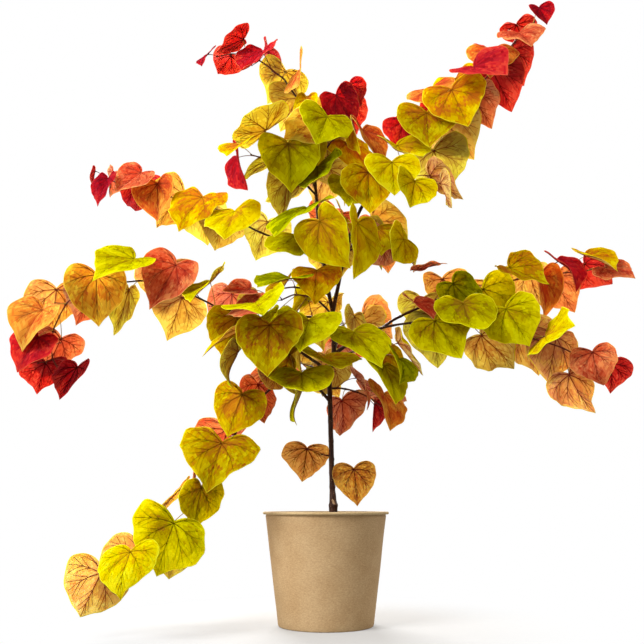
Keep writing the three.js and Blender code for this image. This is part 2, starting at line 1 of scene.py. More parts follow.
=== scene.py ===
"""A young redbud tree in autumn leaf, growing in a round fibre pot.

The wood and the leaves grow here by the same seeded rule, and with the same numbers, as the solids that
they replace.  Each solid leaf becomes a veined heart-shaped blade on a thin petiole, each straight shoot
a rounded twig with buds, and each limb a bark mesh with relief.  The rule works in millimetres, +Z up,
with +Y to the back.
"""

import json
from collections import namedtuple

import bpy
import numpy as np
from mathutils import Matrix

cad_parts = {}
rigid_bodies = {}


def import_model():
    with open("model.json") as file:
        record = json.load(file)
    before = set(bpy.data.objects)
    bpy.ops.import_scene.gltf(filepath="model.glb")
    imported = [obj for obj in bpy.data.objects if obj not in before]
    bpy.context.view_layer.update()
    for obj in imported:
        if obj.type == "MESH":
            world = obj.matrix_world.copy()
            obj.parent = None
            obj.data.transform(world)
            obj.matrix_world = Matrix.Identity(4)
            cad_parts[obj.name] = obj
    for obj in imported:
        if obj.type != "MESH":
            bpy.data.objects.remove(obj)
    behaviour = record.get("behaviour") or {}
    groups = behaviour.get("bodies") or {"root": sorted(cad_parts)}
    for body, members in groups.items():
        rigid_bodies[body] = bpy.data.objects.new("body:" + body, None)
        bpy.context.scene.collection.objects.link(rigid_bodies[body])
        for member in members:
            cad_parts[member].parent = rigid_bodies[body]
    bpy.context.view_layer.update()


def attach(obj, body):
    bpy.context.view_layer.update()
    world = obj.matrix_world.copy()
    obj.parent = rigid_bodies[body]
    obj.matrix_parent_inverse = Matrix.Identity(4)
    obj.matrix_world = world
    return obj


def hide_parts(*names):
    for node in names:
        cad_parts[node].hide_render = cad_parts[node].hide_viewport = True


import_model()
MM = 0.001

# ---------------------------------------------------------------- driving dimensions, as in the source

POT_HEIGHT = 172
POT_RIM_RADIUS = 100
POT_BASE_RADIUS = 74
POT_WALL = 1.8
POT_FLOOR = 4
LIP_RADIUS = 2.1                   # of the real roll of fibre; the solid's is 0.7 mm thicker
LIP_OVERHANG = 4.2
SOIL_LEVEL = 156

# The trunk from its foot on the soil over the swollen graft to the fork: x, y, z, radius.
TRUNK = np.array([
    (12, 0, 156.3, 9.0), (12, 0, 172, 6.8), (12, 0, 184, 6.2), (10.5, 0, 205, 4.4), (9, 0, 269, 4.1),
    (7, 0, 350, 4.0), (6, 0, 395, 3.9), (14, 0, 428, 3.9), (12, 0, 498, 3.6),
])

# A limb or shoot leaves its parent at a share of the parent's length.  `compass` is its direction in plan
# (0 is right, 90 back, 180 left, 270 front) and `rise` its slope over the horizon, both in degrees and
# given once, or at its foot, middle and tip.
Limb = namedtuple("Limb", "name parent at compass rise length radius")
LIMBS = [
    Limb("leader_right", "trunk", 1, -10, (77, 73, 41), 262, (3.4, 2.4)),
    Limb("leader_left", "trunk", 1, 180, (78, 84, 88), 299, (3.4, 2.3)),
    Limb("bough_upper_left", "leader_left", 0.29, 165, (32, 30, 26), 120, (2.2, 1.7)),
    Limb("bough_mid_left", "trunk", 0.7, 188, (35, 32, 22), 110, (2.6, 1.9)),
    Limb("bough_right", "trunk", 0.79, 0, (33, 33, 6), 93, (3.0, 2.5)),
    Limb("bough_right_lower", "bough_right", 0.85, -18, (14, 8, 2), 60, (2.1, 1.8)),
    Limb("bough_lower_left", "trunk", 0.56, 203, (50, 20, -30), 100, (2.4, 1.8)),
    Limb("bough_back", "trunk", 0.74, (78, 80, 84), (48, 36, 24), 150, (2.6, 1.9)),
    Limb("bough_front", "trunk", 0.86, 236, (40, 30, 18), 60, (2.2, 1.8)),
]

# Each shoot carries leaves by turns left and right.  `first_leaf` is the distance to its lowest leaf,
# `tints` has a letter for each leaf from foot to tip, `widths` are those of the leaves at foot, middle
# and tip, and `facing` says where their upper sides look.  A way is the parts of a direction along the
# shoot, aside, outwards and up, and how far chance may turn it.
Way = namedtuple("Way", "heading sideways outward up jitter")
PETIOLE_WAY = Way(0.55, 0.75, 0, (0.045, 0.855), 0.35)
LAST_PETIOLE_WAY = Way(1.15, 0.15, 0, (0.045, 0.855), 0.35)
TIP_WAY = Way(0, 0.15, 0.35, -1, 0.42)
SIDEWAYS = Way(0, 0.8, 0.25, 0.25, 0.45)
OUTWARD = Way(0, 0.35, 0.9, 0.25, 0.45)

Shoot = namedtuple("Shoot", "mass parent at compass rise length first_leaf tints widths seed facing")
SHOOTS = [
    Shoot("top_right", "leader_right", 1, -12, (31, 46, 45), 365, 30,
          "ylbddsrrorsrk", (84, 94, 48), 380, SIDEWAYS),
    Shoot("top_right", "top_right", 0.1, (25, 10, 5), (84, 44, 48), 285, 50,
          "rkoodrdsrr", (74, 82, 46), 122, SIDEWAYS),
    Shoot("top_left", "leader_left", 1, 170, (71, 53, -10), 299, 15,
          "ldyoyrrrrk", (80, 84, 44), 82, SIDEWAYS),
    Shoot("top_centre", "leader_left", 0.92, 20, (74, 60, 49), 160, 25,
          "yodsrrrk", (80, 74, 36), 1, SIDEWAYS),
    Shoot("upper_left", "bough_upper_left", 1, 165, (26, 22, 14), 350, 12,
          "lybdyrdosskksr", (84, 88, 48), 346, SIDEWAYS),
    Shoot("mid_left", "bough_mid_left", 1, 188, (26, 2, -132), 480, 10,
          "lbsldstlltsdtosrrkk", (80, 92, 60), 59, SIDEWAYS),
    Shoot("right_upper", "bough_right", 1, 15, (40, 15, 12), 454, 40,
          "slgtldbtodrodrsr", (78, 92, 66), 46, SIDEWAYS),
    Shoot("right_lower", "bough_right_lower", 1, -18, (6, -16, -38), 299, 8,
          "lglbltytotsr", (88, 86, 56), 57, SIDEWAYS),
    Shoot("lower_left", "bough_lower_left", 1, 203, (-30, -66, -2), 375, 5,
          "sbsbsldlyltyd", (74, 92, 88), 5, SIDEWAYS),
    Shoot("front_upper", "leader_left", 0.36, (278, 276, 274), (25, -8, -45), 150, 22,
          "lygylyyl", (90, 104, 74), 129, OUTWARD),
    Shoot("front_high", "leader_left", 0.7, (215, 225, 235), (40, 15, -10), 150, 18,
          "lgllylrd", (84, 92, 60), 222, OUTWARD),
    Shoot("crown_front", "leader_left", 0.86, 300, (40, 10, -20), 110, 16,
          "ldtold", (84, 88, 60), 25, OUTWARD),
    Shoot("crown_right", "leader_right", 0.74, (-62, -50, -40), (30, 0, -30), 150, 16,
          "lydtytyd", (84, 92, 60), 365, OUTWARD),
    Shoot("centre_right", "leader_right", 0.4, (-50, -30, -20), (20, -10, -50), 130, 16,
          "tsbyysts", (82, 82, 60), 56, OUTWARD),
    Shoot("centre_left", "leader_left", 0.1, (215, 205, 195), (20, -5, -25), 120, 18,
          "ydbgldbs", (78, 80, 56), 114, OUTWARD),
    Shoot("centre_front", "trunk", 0.98, (236, 224, 212), (40, 5, -30), 120, 20,
          "ytlblds", (80, 84, 60), 188, OUTWARD),
    Shoot("front_middle", "bough_front", 1, (230, 220, 208), (0, -25, -50), 150, 8,
          "yllbdlly", (82, 90, 70), 242, OUTWARD),
    Shoot("front_low_right", "trunk", 0.76, (320, 315, 310), (25, 0, -30), 110, 18,
          "lblbldg", (78, 88, 60), 306, OUTWARD),
    Shoot("front_low_left", "trunk", 0.64, (240, 230, 220), (20, 0, -30), 110, 18,
          "lbdltbd", (78, 84, 60), 174, OUTWARD),
    Shoot("low_right", "trunk", 0.62, (50, 35, 20), (10, -10, -40), 110, 16,
          "sssrorr", (76, 80, 56), 343, OUTWARD),
    Shoot("back_middle", "bough_back", 1, (84, 86, 90), (24, 5, -20), 230, 10,
          "lydlosdsrr", (80, 84, 44), 285, OUTWARD),
    Shoot("back_low", "trunk", 0.66, (125, 118, 108), (35, 10, -25), 230, 45,
          "bldsyoosr", (76, 80, 46), 180, OUTWARD),
    Shoot("back_upper", "leader_right", 0.38, (72, 78, 84), (42, 26, 10), 260, 28,
          "lyddosdosrr", (80, 84, 42), 339, OUTWARD),
    Shoot("back_high", "leader_left", 0.72, (110, 104, 98), (55, 40, 20), 190, 22,
          "ylddosrr", (78, 76, 42), 29, OUTWARD),
    Shoot("stem_leaf_left", "trunk", 0.3, 170, 10, 14, 12,
          "n", 66, 284, SIDEWAYS),
    Shoot("stem_leaf_right", "trunk", 0.22, 350, 10, 14, 12,
          "n", 66, 64, SIDEWAYS),
]

# The rest of the rule, in millimetres and degrees; a leaf's own lengths are shares of its width.
TWIG_RADIUS = (1.9, 1.1)           # at a shoot's foot and tip
PETIOLE_ROOT = 0.6
STEP = 24
MIN_STEPS = 3
KINK = 7
HEART_SIDE = [(0.31, -0.13), (0.50, 0.13), (0.32, 0.54)]
HEART_TIP = 0.80
HEART_MIDDLE = 0.3
FOLD = (4, 22)
WIDTH_CHANCE = (0.9, 1.1)
PETIOLE_LENGTH = (0.36, 0.6)
CROWDING = 0.88
UPRIGHT = 0.2

# A leaf has eight tries, each a little wilder, to find a place that keeps these distances.
TRIES = 8
TRY_WIDER = 0.2
SEEDS_PER_LEAF = 20
SEEDS_PER_SHOOT = 1000
CLEAR_OF_LEAF = 1.1
CLEAR_OF_TWIG = 2.6
CLEAR_OF_LIMB = 6.5
OUTLINE_GROWTH = 2.2
CLEAR_OF_STALK = 3
STALK_POINTS = 9
STALK_ROOT = 7
STALK_ENDS = (6, 5)
BLADE_REACH = 0.62
TWIG_REACH = 16
LIMB_REACH = 30
LEAF_REACH = (0.7, 10)
STALK_REACH = 120

# ---------------------------------------------------------------- small tools

UP = np.array([0.0, 0.0, 1.0])
TURN = 2 * np.pi
SHORT_OF_END = 1e-6
PARALLEL = 1e-12


def unit(vectors):
    """The vectors at length one."""
    return vectors / np.linalg.norm(vectors, axis=-1, keepdims=True)


def between(ends, share):
    """The value that lies at a share of the way from the first end to the second."""
    return ends[0] + (ends[1] - ends[0]) * share


def quadratic(values, t):
    """The quadratic through three values at t = 0, 1/2 and 1, or a value that stays the same."""
    a, b, c = np.broadcast_to(values, 3)
    return a * (1 - t) * (1 - 2 * t) + b * 4 * t * (1 - t) + c * t * (2 * t - 1)


def bell(distance, reach):
    """A bell-shaped curve: 1 in the middle and 1/e at its reach."""
    return np.exp(-(distance / reach) ** 2)


def angles(count):
    """Even angles once round."""
    return np.arange(count) / count * TURN


def circle(angle, radius=1):
    """The points at these angles on a circle."""
    return np.stack([np.cos(angle) * radius, np.sin(angle) * radius], -1)


def draws(seed):
    """The Park-Miller generator: a function that gives the next number between 0 and 1."""
    prime = 2147483647
    state = (seed * 7919 + 104729) % prime

    def draw():
        nonlocal state
        state = state * 16807 % prime
        return state / prime

    for _ in range(3):
        draw()
    return draw


def path_length(path):
    """The length of a path of joints."""
    return np.linalg.norm(np.diff(path, axis=0), axis=1).sum()


def distances(path):
    """How far along a path each of its joints is."""
    return np.append(0, np.cumsum(np.linalg.norm(np.diff(path, axis=0), axis=1)))


def along(path, distance):
    """The point and the heading at a distance along a path."""
    ends = distances(path)
    distance = min(max(distance, 0), ends[-1] - SHORT_OF_END)
    k = int(np.searchsorted(ends, distance, side="right")) - 1
    heading = unit(path[k + 1] - path[k])
    return path[k] + heading * (distance - ends[k]), heading


def grow_path(start, compass, rise, length, kink, draw):
    """A shoot's joints: STEP apart, with compass and rise that change evenly and kink a little."""
    count = max(MIN_STEPS, int(length / STEP + 0.5))
    path = [np.array(start)]
    for i in range(count):
        t = (i + 0.5) / count
        turn = np.radians(quadratic(compass, t) + kink * (2 * draw() - 1))
        slope = np.radians(quadratic(rise, t) + kink * (2 * draw() - 1))
        flat = np.cos(slope)
        heading = np.array([np.cos(turn) * flat, np.sin(turn) * flat, np.sin(slope)])
        path.append(path[-1] + heading * length / count)
    return np.array(path)


# ---------------------------------------------------------------- is a place free?

HEART = np.array([(0, 0), *HEART_SIDE, (0, HEART_TIP), *[(-x, y) for x, y in reversed(HEART_SIDE)]])
TIP = len(HEART_SIDE) + 1
CORNERS = len(HEART)
RIM = np.arange(CORNERS)
NEXT = (RIM + 1) % CORNERS
FACE = np.array([(0, k, k + 1) for k in range(1, TIP)]
                + [(TIP, k, (k + 1) % CORNERS) for k in range(TIP + 1, CORNERS)])
SHELL_FACES = np.vstack([
    FACE, FACE + CORNERS,
    np.stack([RIM, RIM + CORNERS, NEXT + CORNERS], 1), np.stack([RIM, NEXT + CORNERS, NEXT], 1),
])
SHELL_EDGES = np.vstack([
    np.stack([RIM, NEXT], 1), np.stack([RIM, NEXT], 1) + CORNERS, np.stack([RIM, RIM + CORNERS], 1),
    [(0, TIP), (CORNERS, TIP + CORNERS)],
])

Blade = namedtuple("Blade", "origin right axis normal size fold")
Clearance = namedtuple("Clearance", "faces edges")


def clearance(blade, margin):
    """The eight-cornered blade as a shell with clear space round it: its triangles and its edges."""
    grow = 1 + OUTLINE_GROWTH * margin / blade.size
    across = HEART[:, :1] * grow * blade.size
    down = ((HEART[:, 1:] - HEART_MIDDLE) * grow + HEART_MIDDLE) * blade.size
    middle = (blade.origin + across * blade.right + down * blade.axis
              + np.abs(across) * np.tan(blade.fold) * blade.normal)
    corners = np.vstack([middle + margin * blade.normal, middle - margin * blade.normal])
    return Clearance(corners[SHELL_FACES], corners[SHELL_EDGES])


def any_pierces(segments, faces):
    """Does any of the segments pass through any of the triangles?"""
    if len(segments) == 0:
        return False
    start = segments[:, 0][:, None]
    direction = (segments[:, 1] - segments[:, 0])[:, None]
    corner = faces[:, 0][None]
    side = (faces[:, 1] - faces[:, 0])[None]
    other = (faces[:, 2] - faces[:, 0])[None]
    p = np.cross(direction, other)
    determinant = (side * p).sum(-1)
    level = np.abs(determinant) < PARALLEL
    determinant = np.where(level, 1, determinant)
    s = start - corner
    u = (s * p).sum(-1) / determinant
    q = np.cross(s, side)
    v = (direction * q).sum(-1) / determinant
    t = (other * q).sum(-1) / determinant
    return bool((~level & (u >= 0) & (u <= 1) & (v >= 0) & (u + v <= 1) & (t >= 0) & (t <= 1)).any())


def all_clear(points, segments, distance):
    """Are all the points further than a distance from all the segments?"""
    if len(segments) == 0:
        return True
    start = segments[:, 0][None]
    reach = (segments[:, 1] - segments[:, 0])[None]
    offset = points[:, None] - start
    share = np.clip((offset * reach).sum(-1) / (reach * reach).sum(-1), 0, 1)[..., None]
    return bool((np.linalg.norm(offset - share * reach, axis=-1) > distance).all())


def segments_of(path):
    """The straight pieces of a path."""
    return np.stack([path[:-1], path[1:]], 1)


# ---------------------------------------------------------------- growing the wood and the leaves

limb_paths = {"trunk": TRUNK[:, :3]}
for limb in LIMBS:
    host = limb_paths[limb.parent]
    foot, _ = along(host, limb.at * path_length(host))
    limb_paths[limb.name] = grow_path(foot, limb.compass, limb.rise, limb.length, 0, draws(1))

shoot_paths = []
for shoot in SHOOTS:
    if shoot.parent in limb_paths:
        host = limb_paths[shoot.parent]
    else:
        host = shoot_paths[[s.mass for s in SHOOTS].index(shoot.parent)]
    foot, _ = along(host, shoot.at * path_length(host))
    shoot_paths.append(grow_path(foot, shoot.compass, shoot.rise, shoot.length, KINK, draws(shoot.seed)))

limb_segments = np.concatenate([segments_of(path) for path in limb_paths.values()])
twig_segments = np.concatenate([segments_of(path) for path in shoot_paths])
twig_masses = np.concatenate([[s.mass] * (len(p) - 1) for s, p in zip(SHOOTS, shoot_paths)])

Leaf = namedtuple("Leaf", "shoot mass tint index last root reach petiole blade stalk thin fat centre")


def pose(number, index, attempt):
    """One pose of a leaf: its petiole from the shoot's joint and its blade, from thirteen numbers."""
    shoot = SHOOTS[number]
    last = index == len(shoot.tints) - 1
    share = index / (len(shoot.tints) - 1) if len(shoot.tints) > 1 else 1
    place = shoot.first_leaf + (shoot.length - shoot.first_leaf) * share ** CROWDING
    point, heading = along(shoot_paths[number], place)
    turn = 1 if index % 2 == 0 else -1
    outward = np.array([heading[0], heading[1], 0])
    if np.linalg.norm(outward) < UPRIGHT:
        middle = np.radians(quadratic(shoot.compass, 0.5))
        outward = np.array([np.cos(middle), np.sin(middle), 0])
    outward = unit(outward)
    sideways = unit(np.cross(outward, UP)) * turn
    off_shoot = np.cross(sideways * turn, heading)

    draw = draws(shoot.seed * SEEDS_PER_SHOOT + index * SEEDS_PER_LEAF + attempt)
    d = np.array([draw() for _ in range(13)])
    spread = 1 + TRY_WIDER * attempt
    way = LAST_PETIOLE_WAY if last else PETIOLE_WAY
    reach = unit(heading * way.heading + sideways * way.sideways + off_shoot * between(way.up, d[1])
                 + (2 * d[2:5] - 1) * way.jitter * spread)
    size = quadratic(shoot.widths, share) * between(WIDTH_CHANCE, d[0])
    petiole = size * between(PETIOLE_LENGTH, d[5])
    origin = point + reach * petiole
    axis = unit(UP * TIP_WAY.up + outward * TIP_WAY.outward + sideways * TIP_WAY.sideways
                + (2 * d[6:9] - 1) * TIP_WAY.jitter * spread)
    facing = shoot.facing
    face = (sideways * facing.sideways + outward * facing.outward + UP * facing.up
            + (2 * d[9:12] - 1) * facing.jitter * spread)
    normal = unit(face - axis * (face @ axis))
    blade = Blade(origin, np.cross(axis, normal), axis, normal, size, np.radians(between(FOLD, d[12])))
    stalk = np.array([[point + reach * STALK_ENDS[0], origin - reach * STALK_ENDS[1]]])
    return Leaf(number, shoot.mass, shoot.tints[index], index, last, point, reach, petiole, blade, stalk,
                clearance(blade, CLEAR_OF_LEAF), clearance(blade, CLEAR_OF_TWIG),
                origin + axis * size * HEART_MIDDLE)


def is_free(leaf, grown):
    """Is a pose clear of the limbs, of all twigs and petioles, and of the leaves that are there?"""
    size = leaf.blade.size

    def near(segments, extra):
        away = np.linalg.norm(segments.mean(1) - leaf.centre, axis=1)
        return segments[away < size * BLADE_REACH + extra]

    if any_pierces(near(twig_segments, TWIG_REACH), leaf.fat.faces):
        return False
    if any_pierces(near(limb_segments, LIMB_REACH), clearance(leaf.blade, CLEAR_OF_LIMB).faces):
        return False
    steps = np.linspace(STALK_ROOT, leaf.petiole, STALK_POINTS)[:, None]
    points = leaf.root + leaf.reach * steps
    stalks = [np.array([[o.root, o.blade.origin]]) for o in grown
              if o.mass != leaf.mass and np.linalg.norm(o.root - leaf.root) < STALK_REACH]
    others = np.concatenate([twig_segments[twig_masses != leaf.mass], *stalks])
    if not all_clear(points, limb_segments, CLEAR_OF_LIMB) or not all_clear(points, others, CLEAR_OF_STALK):
        return False
    for o in grown:
        if np.linalg.norm(o.centre - leaf.centre) > (size + o.blade.size) * LEAF_REACH[0] + LEAF_REACH[1]:
            continue
        if any_pierces(leaf.thin.edges, o.thin.faces) or any_pierces(o.thin.edges, leaf.thin.faces):
            return False
        if any_pierces(leaf.stalk, o.fat.faces) or any_pierces(o.stalk, leaf.fat.faces):
            return False
    return True


leaves = []
for number, shoot in enumerate(SHOOTS):
    for index in range(len(shoot.tints)):
        tried = (pose(number, index, attempt) for attempt in range(TRIES))
        leaf = next((leaf for leaf in tried if is_free(leaf, leaves)), None)
        if leaf:
            leaves.append(leaf)

# ---------------------------------------------------------------- meshes from arrays

# Part of a piece: points in millimetres, triangles, and for each triangle the place of its material.
Part = namedtuple("Part", "points triangles finish")


def closed_tube(rings, ends, finish=0):
    """
    A part from rings of points, row by row, and a pole at each end: two triangles for every four
    neighbours and a fan at each end, all turned outwards.
    """
    rows, columns = rings.shape[:2]
    i, j = np.meshgrid(np.arange(rows - 1), np.arange(columns), indexing="ij")
    k = (j + 1) % columns
    a, b, c, d = i * columns + j, i * columns + k, (i + 1) * columns + k, (i + 1) * columns + j
    ring = np.arange(columns)
    after = np.roll(ring, -1)
    last = (rows - 1) * columns
    poles = rows * columns + np.array([[0], [1]]) + 0 * ring
    triangles = np.concatenate([
        np.stack([a, b, c], -1).reshape(-1, 3), np.stack([a, c, d], -1).reshape(-1, 3),
        np.stack([poles[0], after, ring], 1), np.stack([poles[1], last + ring, last + after], 1),
    ])
    return Part(np.concatenate([rings.reshape(-1, 3), ends]), triangles, np.full(len(triangles), finish))


def sweep(path, reference, across, upright, finish=0):
    """
    A closed tube along a path.  At each point of the path its section lies across the path, with
    `across` measured along (tangent x reference) and `upright` square to that, row by row.
    """
    tangent = unit(np.gradient(path, axis=0))
    side = unit(np.cross(tangent, reference))
    over = np.cross(side, tangent)
    rings = path[:, None] + side[:, None] * across[..., None] + over[:, None] * upright[..., None]
    return closed_tube(rings, path[[0, -1]], finish)


def round_tube(path, radius, sides, finish=0):
    """A round tube with a radius for each point of its path, or one for each point of each ring."""
    angle = angles(sides)
    radius = np.reshape(radius, (len(path), -1)) * np.ones(sides)
    closeness = np.abs(unit(np.gradient(path, axis=0))).max(0)
    reference = np.eye(3)[closeness.argmin()]
    return sweep(path, reference, radius * np.sin(angle), radius * np.cos(angle), finish)


def rounded(path, step, blur):
    """
    A path resampled every `step` and rounded by a bell-shaped average about `blur` wide, and how far
    along the path its points are.
    """
    ends = distances(path)
    count = max(4, int(ends[-1] / step + 0.5))
    places = np.linspace(0, ends[-1], count + 1)
    points = np.stack([np.interp(places, ends, path[:, k]) for k in range(3)], 1)
    reach = max(1, int(1.5 * blur / step))
    weights = np.exp(-(np.arange(-reach, reach + 1) * step / blur) ** 2 * 2)
    weights /= weights.sum()
    run = np.arange(reach, 0, -1)[:, None]
    before = points[0] - (points[1] - points[0]) * run
    after = points[-1] + (points[-1] - points[-2]) * run[::-1]
    padded = np.concatenate([before, points, after])
    return np.stack([np.convolve(padded[:, k], weights, "valid") for k in range(3)], 1), places


def joined(parts):
    """Several parts as one."""
    starts = np.cumsum([0] + [len(p.points) for p in parts[:-1]])
    return Part(np.concatenate([p.points for p in parts]),
                np.concatenate([p.triangles + start for p, start in zip(parts, starts)]),
                np.concatenate([p.finish for p in parts]))


def piece(name, part, materials, slot, *nodes, smooth=True):
    """A Blender object from a part, riding on the body, that stands for the CAD nodes it replaces."""
    mesh = bpy.data.meshes.new(name)
    used, finish = np.unique(part.finish, return_inverse=True)
    for place in used:
        mesh.materials.append(materials[place])
    count = len(part.triangles)
    mesh.vertices.add(len(part.points))
    mesh.vertices.foreach_set("co", (part.points * MM).astype(np.float32).ravel())
    mesh.loops.add(3 * count)
    mesh.loops.foreach_set("vertex_index", part.triangles.astype(np.int32).ravel())
    mesh.polygons.add(count)
    mesh.polygons.foreach_set("loop_start", np.arange(0, 3 * count, 3, dtype=np.int32))
    mesh.polygons.foreach_set("material_index", finish.astype(np.int32))
    mesh.update(calc_edges=True)
    mesh.polygons.foreach_set("use_smooth", np.full(count, smooth))
    mesh.update()
    thing = bpy.data.objects.new(name, mesh)
    bpy.context.scene.collection.objects.link(thing)
    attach(thing, "root")
    if nodes:
        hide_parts(*nodes)


PLANE_WAVES = 7


def waves(points, period, chance):
    """A smooth random pattern, about -1 to 1: a sum of plane waves near one period."""
    directions = unit(chance.normal(size=(PLANE_WAVES, points.shape[-1])))
    periods = period * chance.uniform(0.7, 1.5, PLANE_WAVES)
    phases = chance.uniform(0, TURN, PLANE_WAVES)
    pattern = np.sin(points @ (directions / periods[:, None] * TURN).T + phases)
    return pattern.sum(-1) / np.sqrt(PLANE_WAVES)


# ---------------------------------------------------------------- materials

def linear(colour):
    """An sRGB hex colour as linear red, green, blue and alpha."""
    channels = np.array([int(colour[k:k + 2], 16) for k in (1, 3, 5)]) / 255
    low, high = channels / 12.92, ((channels + 0.055) / 1.055) ** 2.4
    return (*np.where(channels <= 0.04045, low, high).tolist(), 1.0)


def node(material, kind, inputs=None, **settings):
    """Add a node with its own settings, and fill its inputs with values or with links."""
    made = material.node_tree.nodes.new(kind)
    for name, value in settings.items():
        setattr(made, name, value)
    for name, value in (inputs or {}).items():
        if isinstance(value, bpy.types.NodeSocket):
            material.node_tree.links.new(value, made.inputs[name])
        else:
            made.inputs[name].default_value = value
    return made


def new_material(name):
    """An empty material that uses nodes, and the place on the piece, for its patterns."""
    material = bpy.data.materials.new(name)
    material.use_nodes = True
    material.node_tree.nodes.clear()
    return material, node(material, "ShaderNodeTexCoord").outputs["Object"]


def two_tints(material, place, grain, stops, tints, **settings):
    """A noise with grains so many metres wide, and a colour that goes between two tints with it."""
    noise = node(material, "ShaderNodeTexNoise", {"Vector": place, "Scale": 1 / grain, **settings})
    ramp = node(material, "ShaderNodeValToRGB", {"Fac": noise.outputs["Fac"]})
    for element, stop, tint in zip(ramp.color_ramp.elements, stops, tints):
        element.position, element.color = stop, linear(tint)
    return noise.outputs["Fac"], ramp.outputs["Color"]


def overlaid(material, below, above, share, blend="MIX"):
    """A pattern's colour with a plain tint blended over it by a share."""
    mix = node(material, "ShaderNodeMix", {"Factor": share}, data_type="RGBA", blend_type=blend)
    material.node_tree.links.new(below, mix.inputs["A"])
    mix.inputs["B"].default_value = linear(above)
    return mix.outputs["Result"]


def finished(material, height, strength, depth, **inputs):
    """Give a material its relief from a pattern, its Principled shader with these inputs and its output."""
    bump = node(material, "ShaderNodeBump", {"Height": height, "Strength": strength, "Distance": depth})
    inputs = {name.replace("_", " "): value for name, value in inputs.items()}
    shader = node(material, "ShaderNodeBsdfPrincipled", {"Normal": bump.outputs["Normal"], **inputs})
    node(material, "ShaderNodeOutputMaterial", {"Surface": shader.outputs["BSDF"]})
    return material


LEAF_GLOW = 0.85                   # the share of light that goes into the blade, so that its far side glows
LEAF_DEPTH = (3.0, 2.4, 1.3)       # how far red, green and blue light goes, in millimetres
RED_LEAF_DEPTH = {                 # less green light gets through a red leaf
    "o": (3.0, 1.9, 1.2), "s": (3.0, 1.6, 1.2), "r": (3.0, 1.4, 1.1), "k": (3.0, 1.4, 1.1),
}


def leaf_skin(name, colour, depth, roughness):
    """
    Living leaf: a matt blade that glows where light comes through it, quilted by slow swellings 9 mm
    wide and a net of fine veinlets.  The net's real meshes are 0.5 mm wide and wouldn't show, so they
    are drawn 2.2 mm wide.
    """
    material, place = new_material(name)
    net = node(material, "ShaderNodeTexVoronoi", {"Vector": place, "Scale": 1 / 0.0022},
               feature="DISTANCE_TO_EDGE")
    swell = node(material, "ShaderNodeTexNoise", {"Vector": place, "Scale": 1 / 0.009, "Detail": 2.0})
    relief = node(material, "ShaderNodeMath", {0: net.outputs["Distance"], 1: swell.outputs["Fac"]},
                  operation="ADD")
    return finished(material, relief.outputs["Value"], 0.8, 0.0008, Base_Color=linear(colour),
                    Roughness=roughness, Specular_IOR_Level=0.0, Subsurface_Weight=LEAF_GLOW,
                    Subsurface_Radius=depth, Subsurface_Scale=MM)


def stalk_skin(name, colour, roughness=0.45):
    """Young redbud twig, petiole or bud: smooth and waxy, with fine wrinkles about 1.4 mm apart."""
    material, place = new_material(name)
    wrinkles = node(material, "ShaderNodeTexNoise", {"Vector": place, "Scale": 1 / 0.0014, "Detail": 3.0})
    return finished(material, wrinkles.outputs["Fac"], 0.4, 0.0003, Base_Color=linear(colour),
                    Roughness=roughness, Specular_IOR_Level=0.2)


# Each letter's own colours: five of the upper side, from the veins' meeting point and the main veins to the
# edge, then the thin margin, paler as a painted highlight of light coming through the edge, and the veins,
# and four of the underside with its darker veins.
LEAF_COLOURS = {
    "g": "#4c4400 #5a5a00 #6a7000 #808600 #969800 #a8aa10 #4c4200 #787230 #86863c #989c44 #aeae4e #743e18",
    "l": "#806210 #887a02 #969000 #a6a200 #b2b006 #ccca20 #6e4c00 #987e38 #a69444 #b8b04e #c8c45e #884c24",
    "y": "#a27410 #ac8c04 #b6a000 #beae00 #c6bc0e #dada2a #845200 #b0863c #c29e46 #d0b656 #dcca68 #9e5030",
    "b": "#884e10 #8e640a #947600 #9c8a02 #aa9c06 #c6b820 #6e3404 #a26a3e #ae824a #ba9a56 #c8ae66 #8a3a24",
    "d": "#ac5e14 #b47808 #ba8e00 #c6a400 #cdb60a #dec826 #864008 #bc7a48 #c69056 #d4a662 #deba72 #96422c",
    "t": "#a4481c #b06218 #ba7a20 #c69228 #d2a630 #e2be44 #883612 #b86a50 #c47e5c #d0945e #dca872 #90382a",
    "o": "#b04220 #bc5a22 #c8702a #d28430 #da963a #e6aa4c #942c14 #b66448 #c47656 #d08962 #dca070 #903028",
    "s": "#9c3220 #aa4228 #b65434 #c26640 #ce7e4c #dc9c5c #861c18 #ae644c #bc7456 #c98462 #d69e74 #822626",
    "r": "#800e19 #8c121c #9a171f #a62322 #b23327 #be4a30 #861a22 #921f28 #a0282e #ae3838 #ba5048 #620e15",
    "k": "#5e0610 #6c0814 #7a0b18 #86121c #922022 #9c2828 #6c141e #6e0c1c #7e1623 #8a222a #963234 #400810",
    "n": "#762e1c #803c20 #8c4e26 #986430 #a47a3a #b89450 #641e12 #884230 #94523c #a06446 #ae7856 #581a14",
}
PARTS_OF_LEAF = ["base", "inner", "middle", "outer", "ripe", "margin", "vein",
                 "under_base", "under_inner", "under_outer", "under_ripe", "under_vein"]
UPPER_TINTS = PARTS_OF_LEAF[:5]
# The underside's tints are paler than the upper side's: partly the leaf's own paler underside, partly
# painted glow where light comes through to its shaded side.
UNDER_TINTS = PARTS_OF_LEAF[7:11]
LETTER_NAMES = {
    "g": "green", "l": "lime", "y": "yellow", "b": "bronze", "d": "gold",
    "t": "copper", "o": "orange", "s": "salmon", "r": "red", "k": "crimson", "n": "brown",
}
UPPER_ROUGHNESS, UNDER_ROUGHNESS = 0.62, 0.75
FINISH = {}
LEAF_MATERIALS = []
for letter, colours in LEAF_COLOURS.items():
    for part_name, colour in zip(PARTS_OF_LEAF, colours.split()):
        FINISH[letter, part_name] = len(LEAF_MATERIALS)
        rough = UNDER_ROUGHNESS if part_name.startswith("under") else UPPER_ROUGHNESS
        depth = RED_LEAF_DEPTH.get(letter, LEAF_DEPTH)
        LEAF_MATERIALS.append(leaf_skin(f"leaf_{LETTER_NAMES[letter]}_{part_name}", colour, depth, rough))

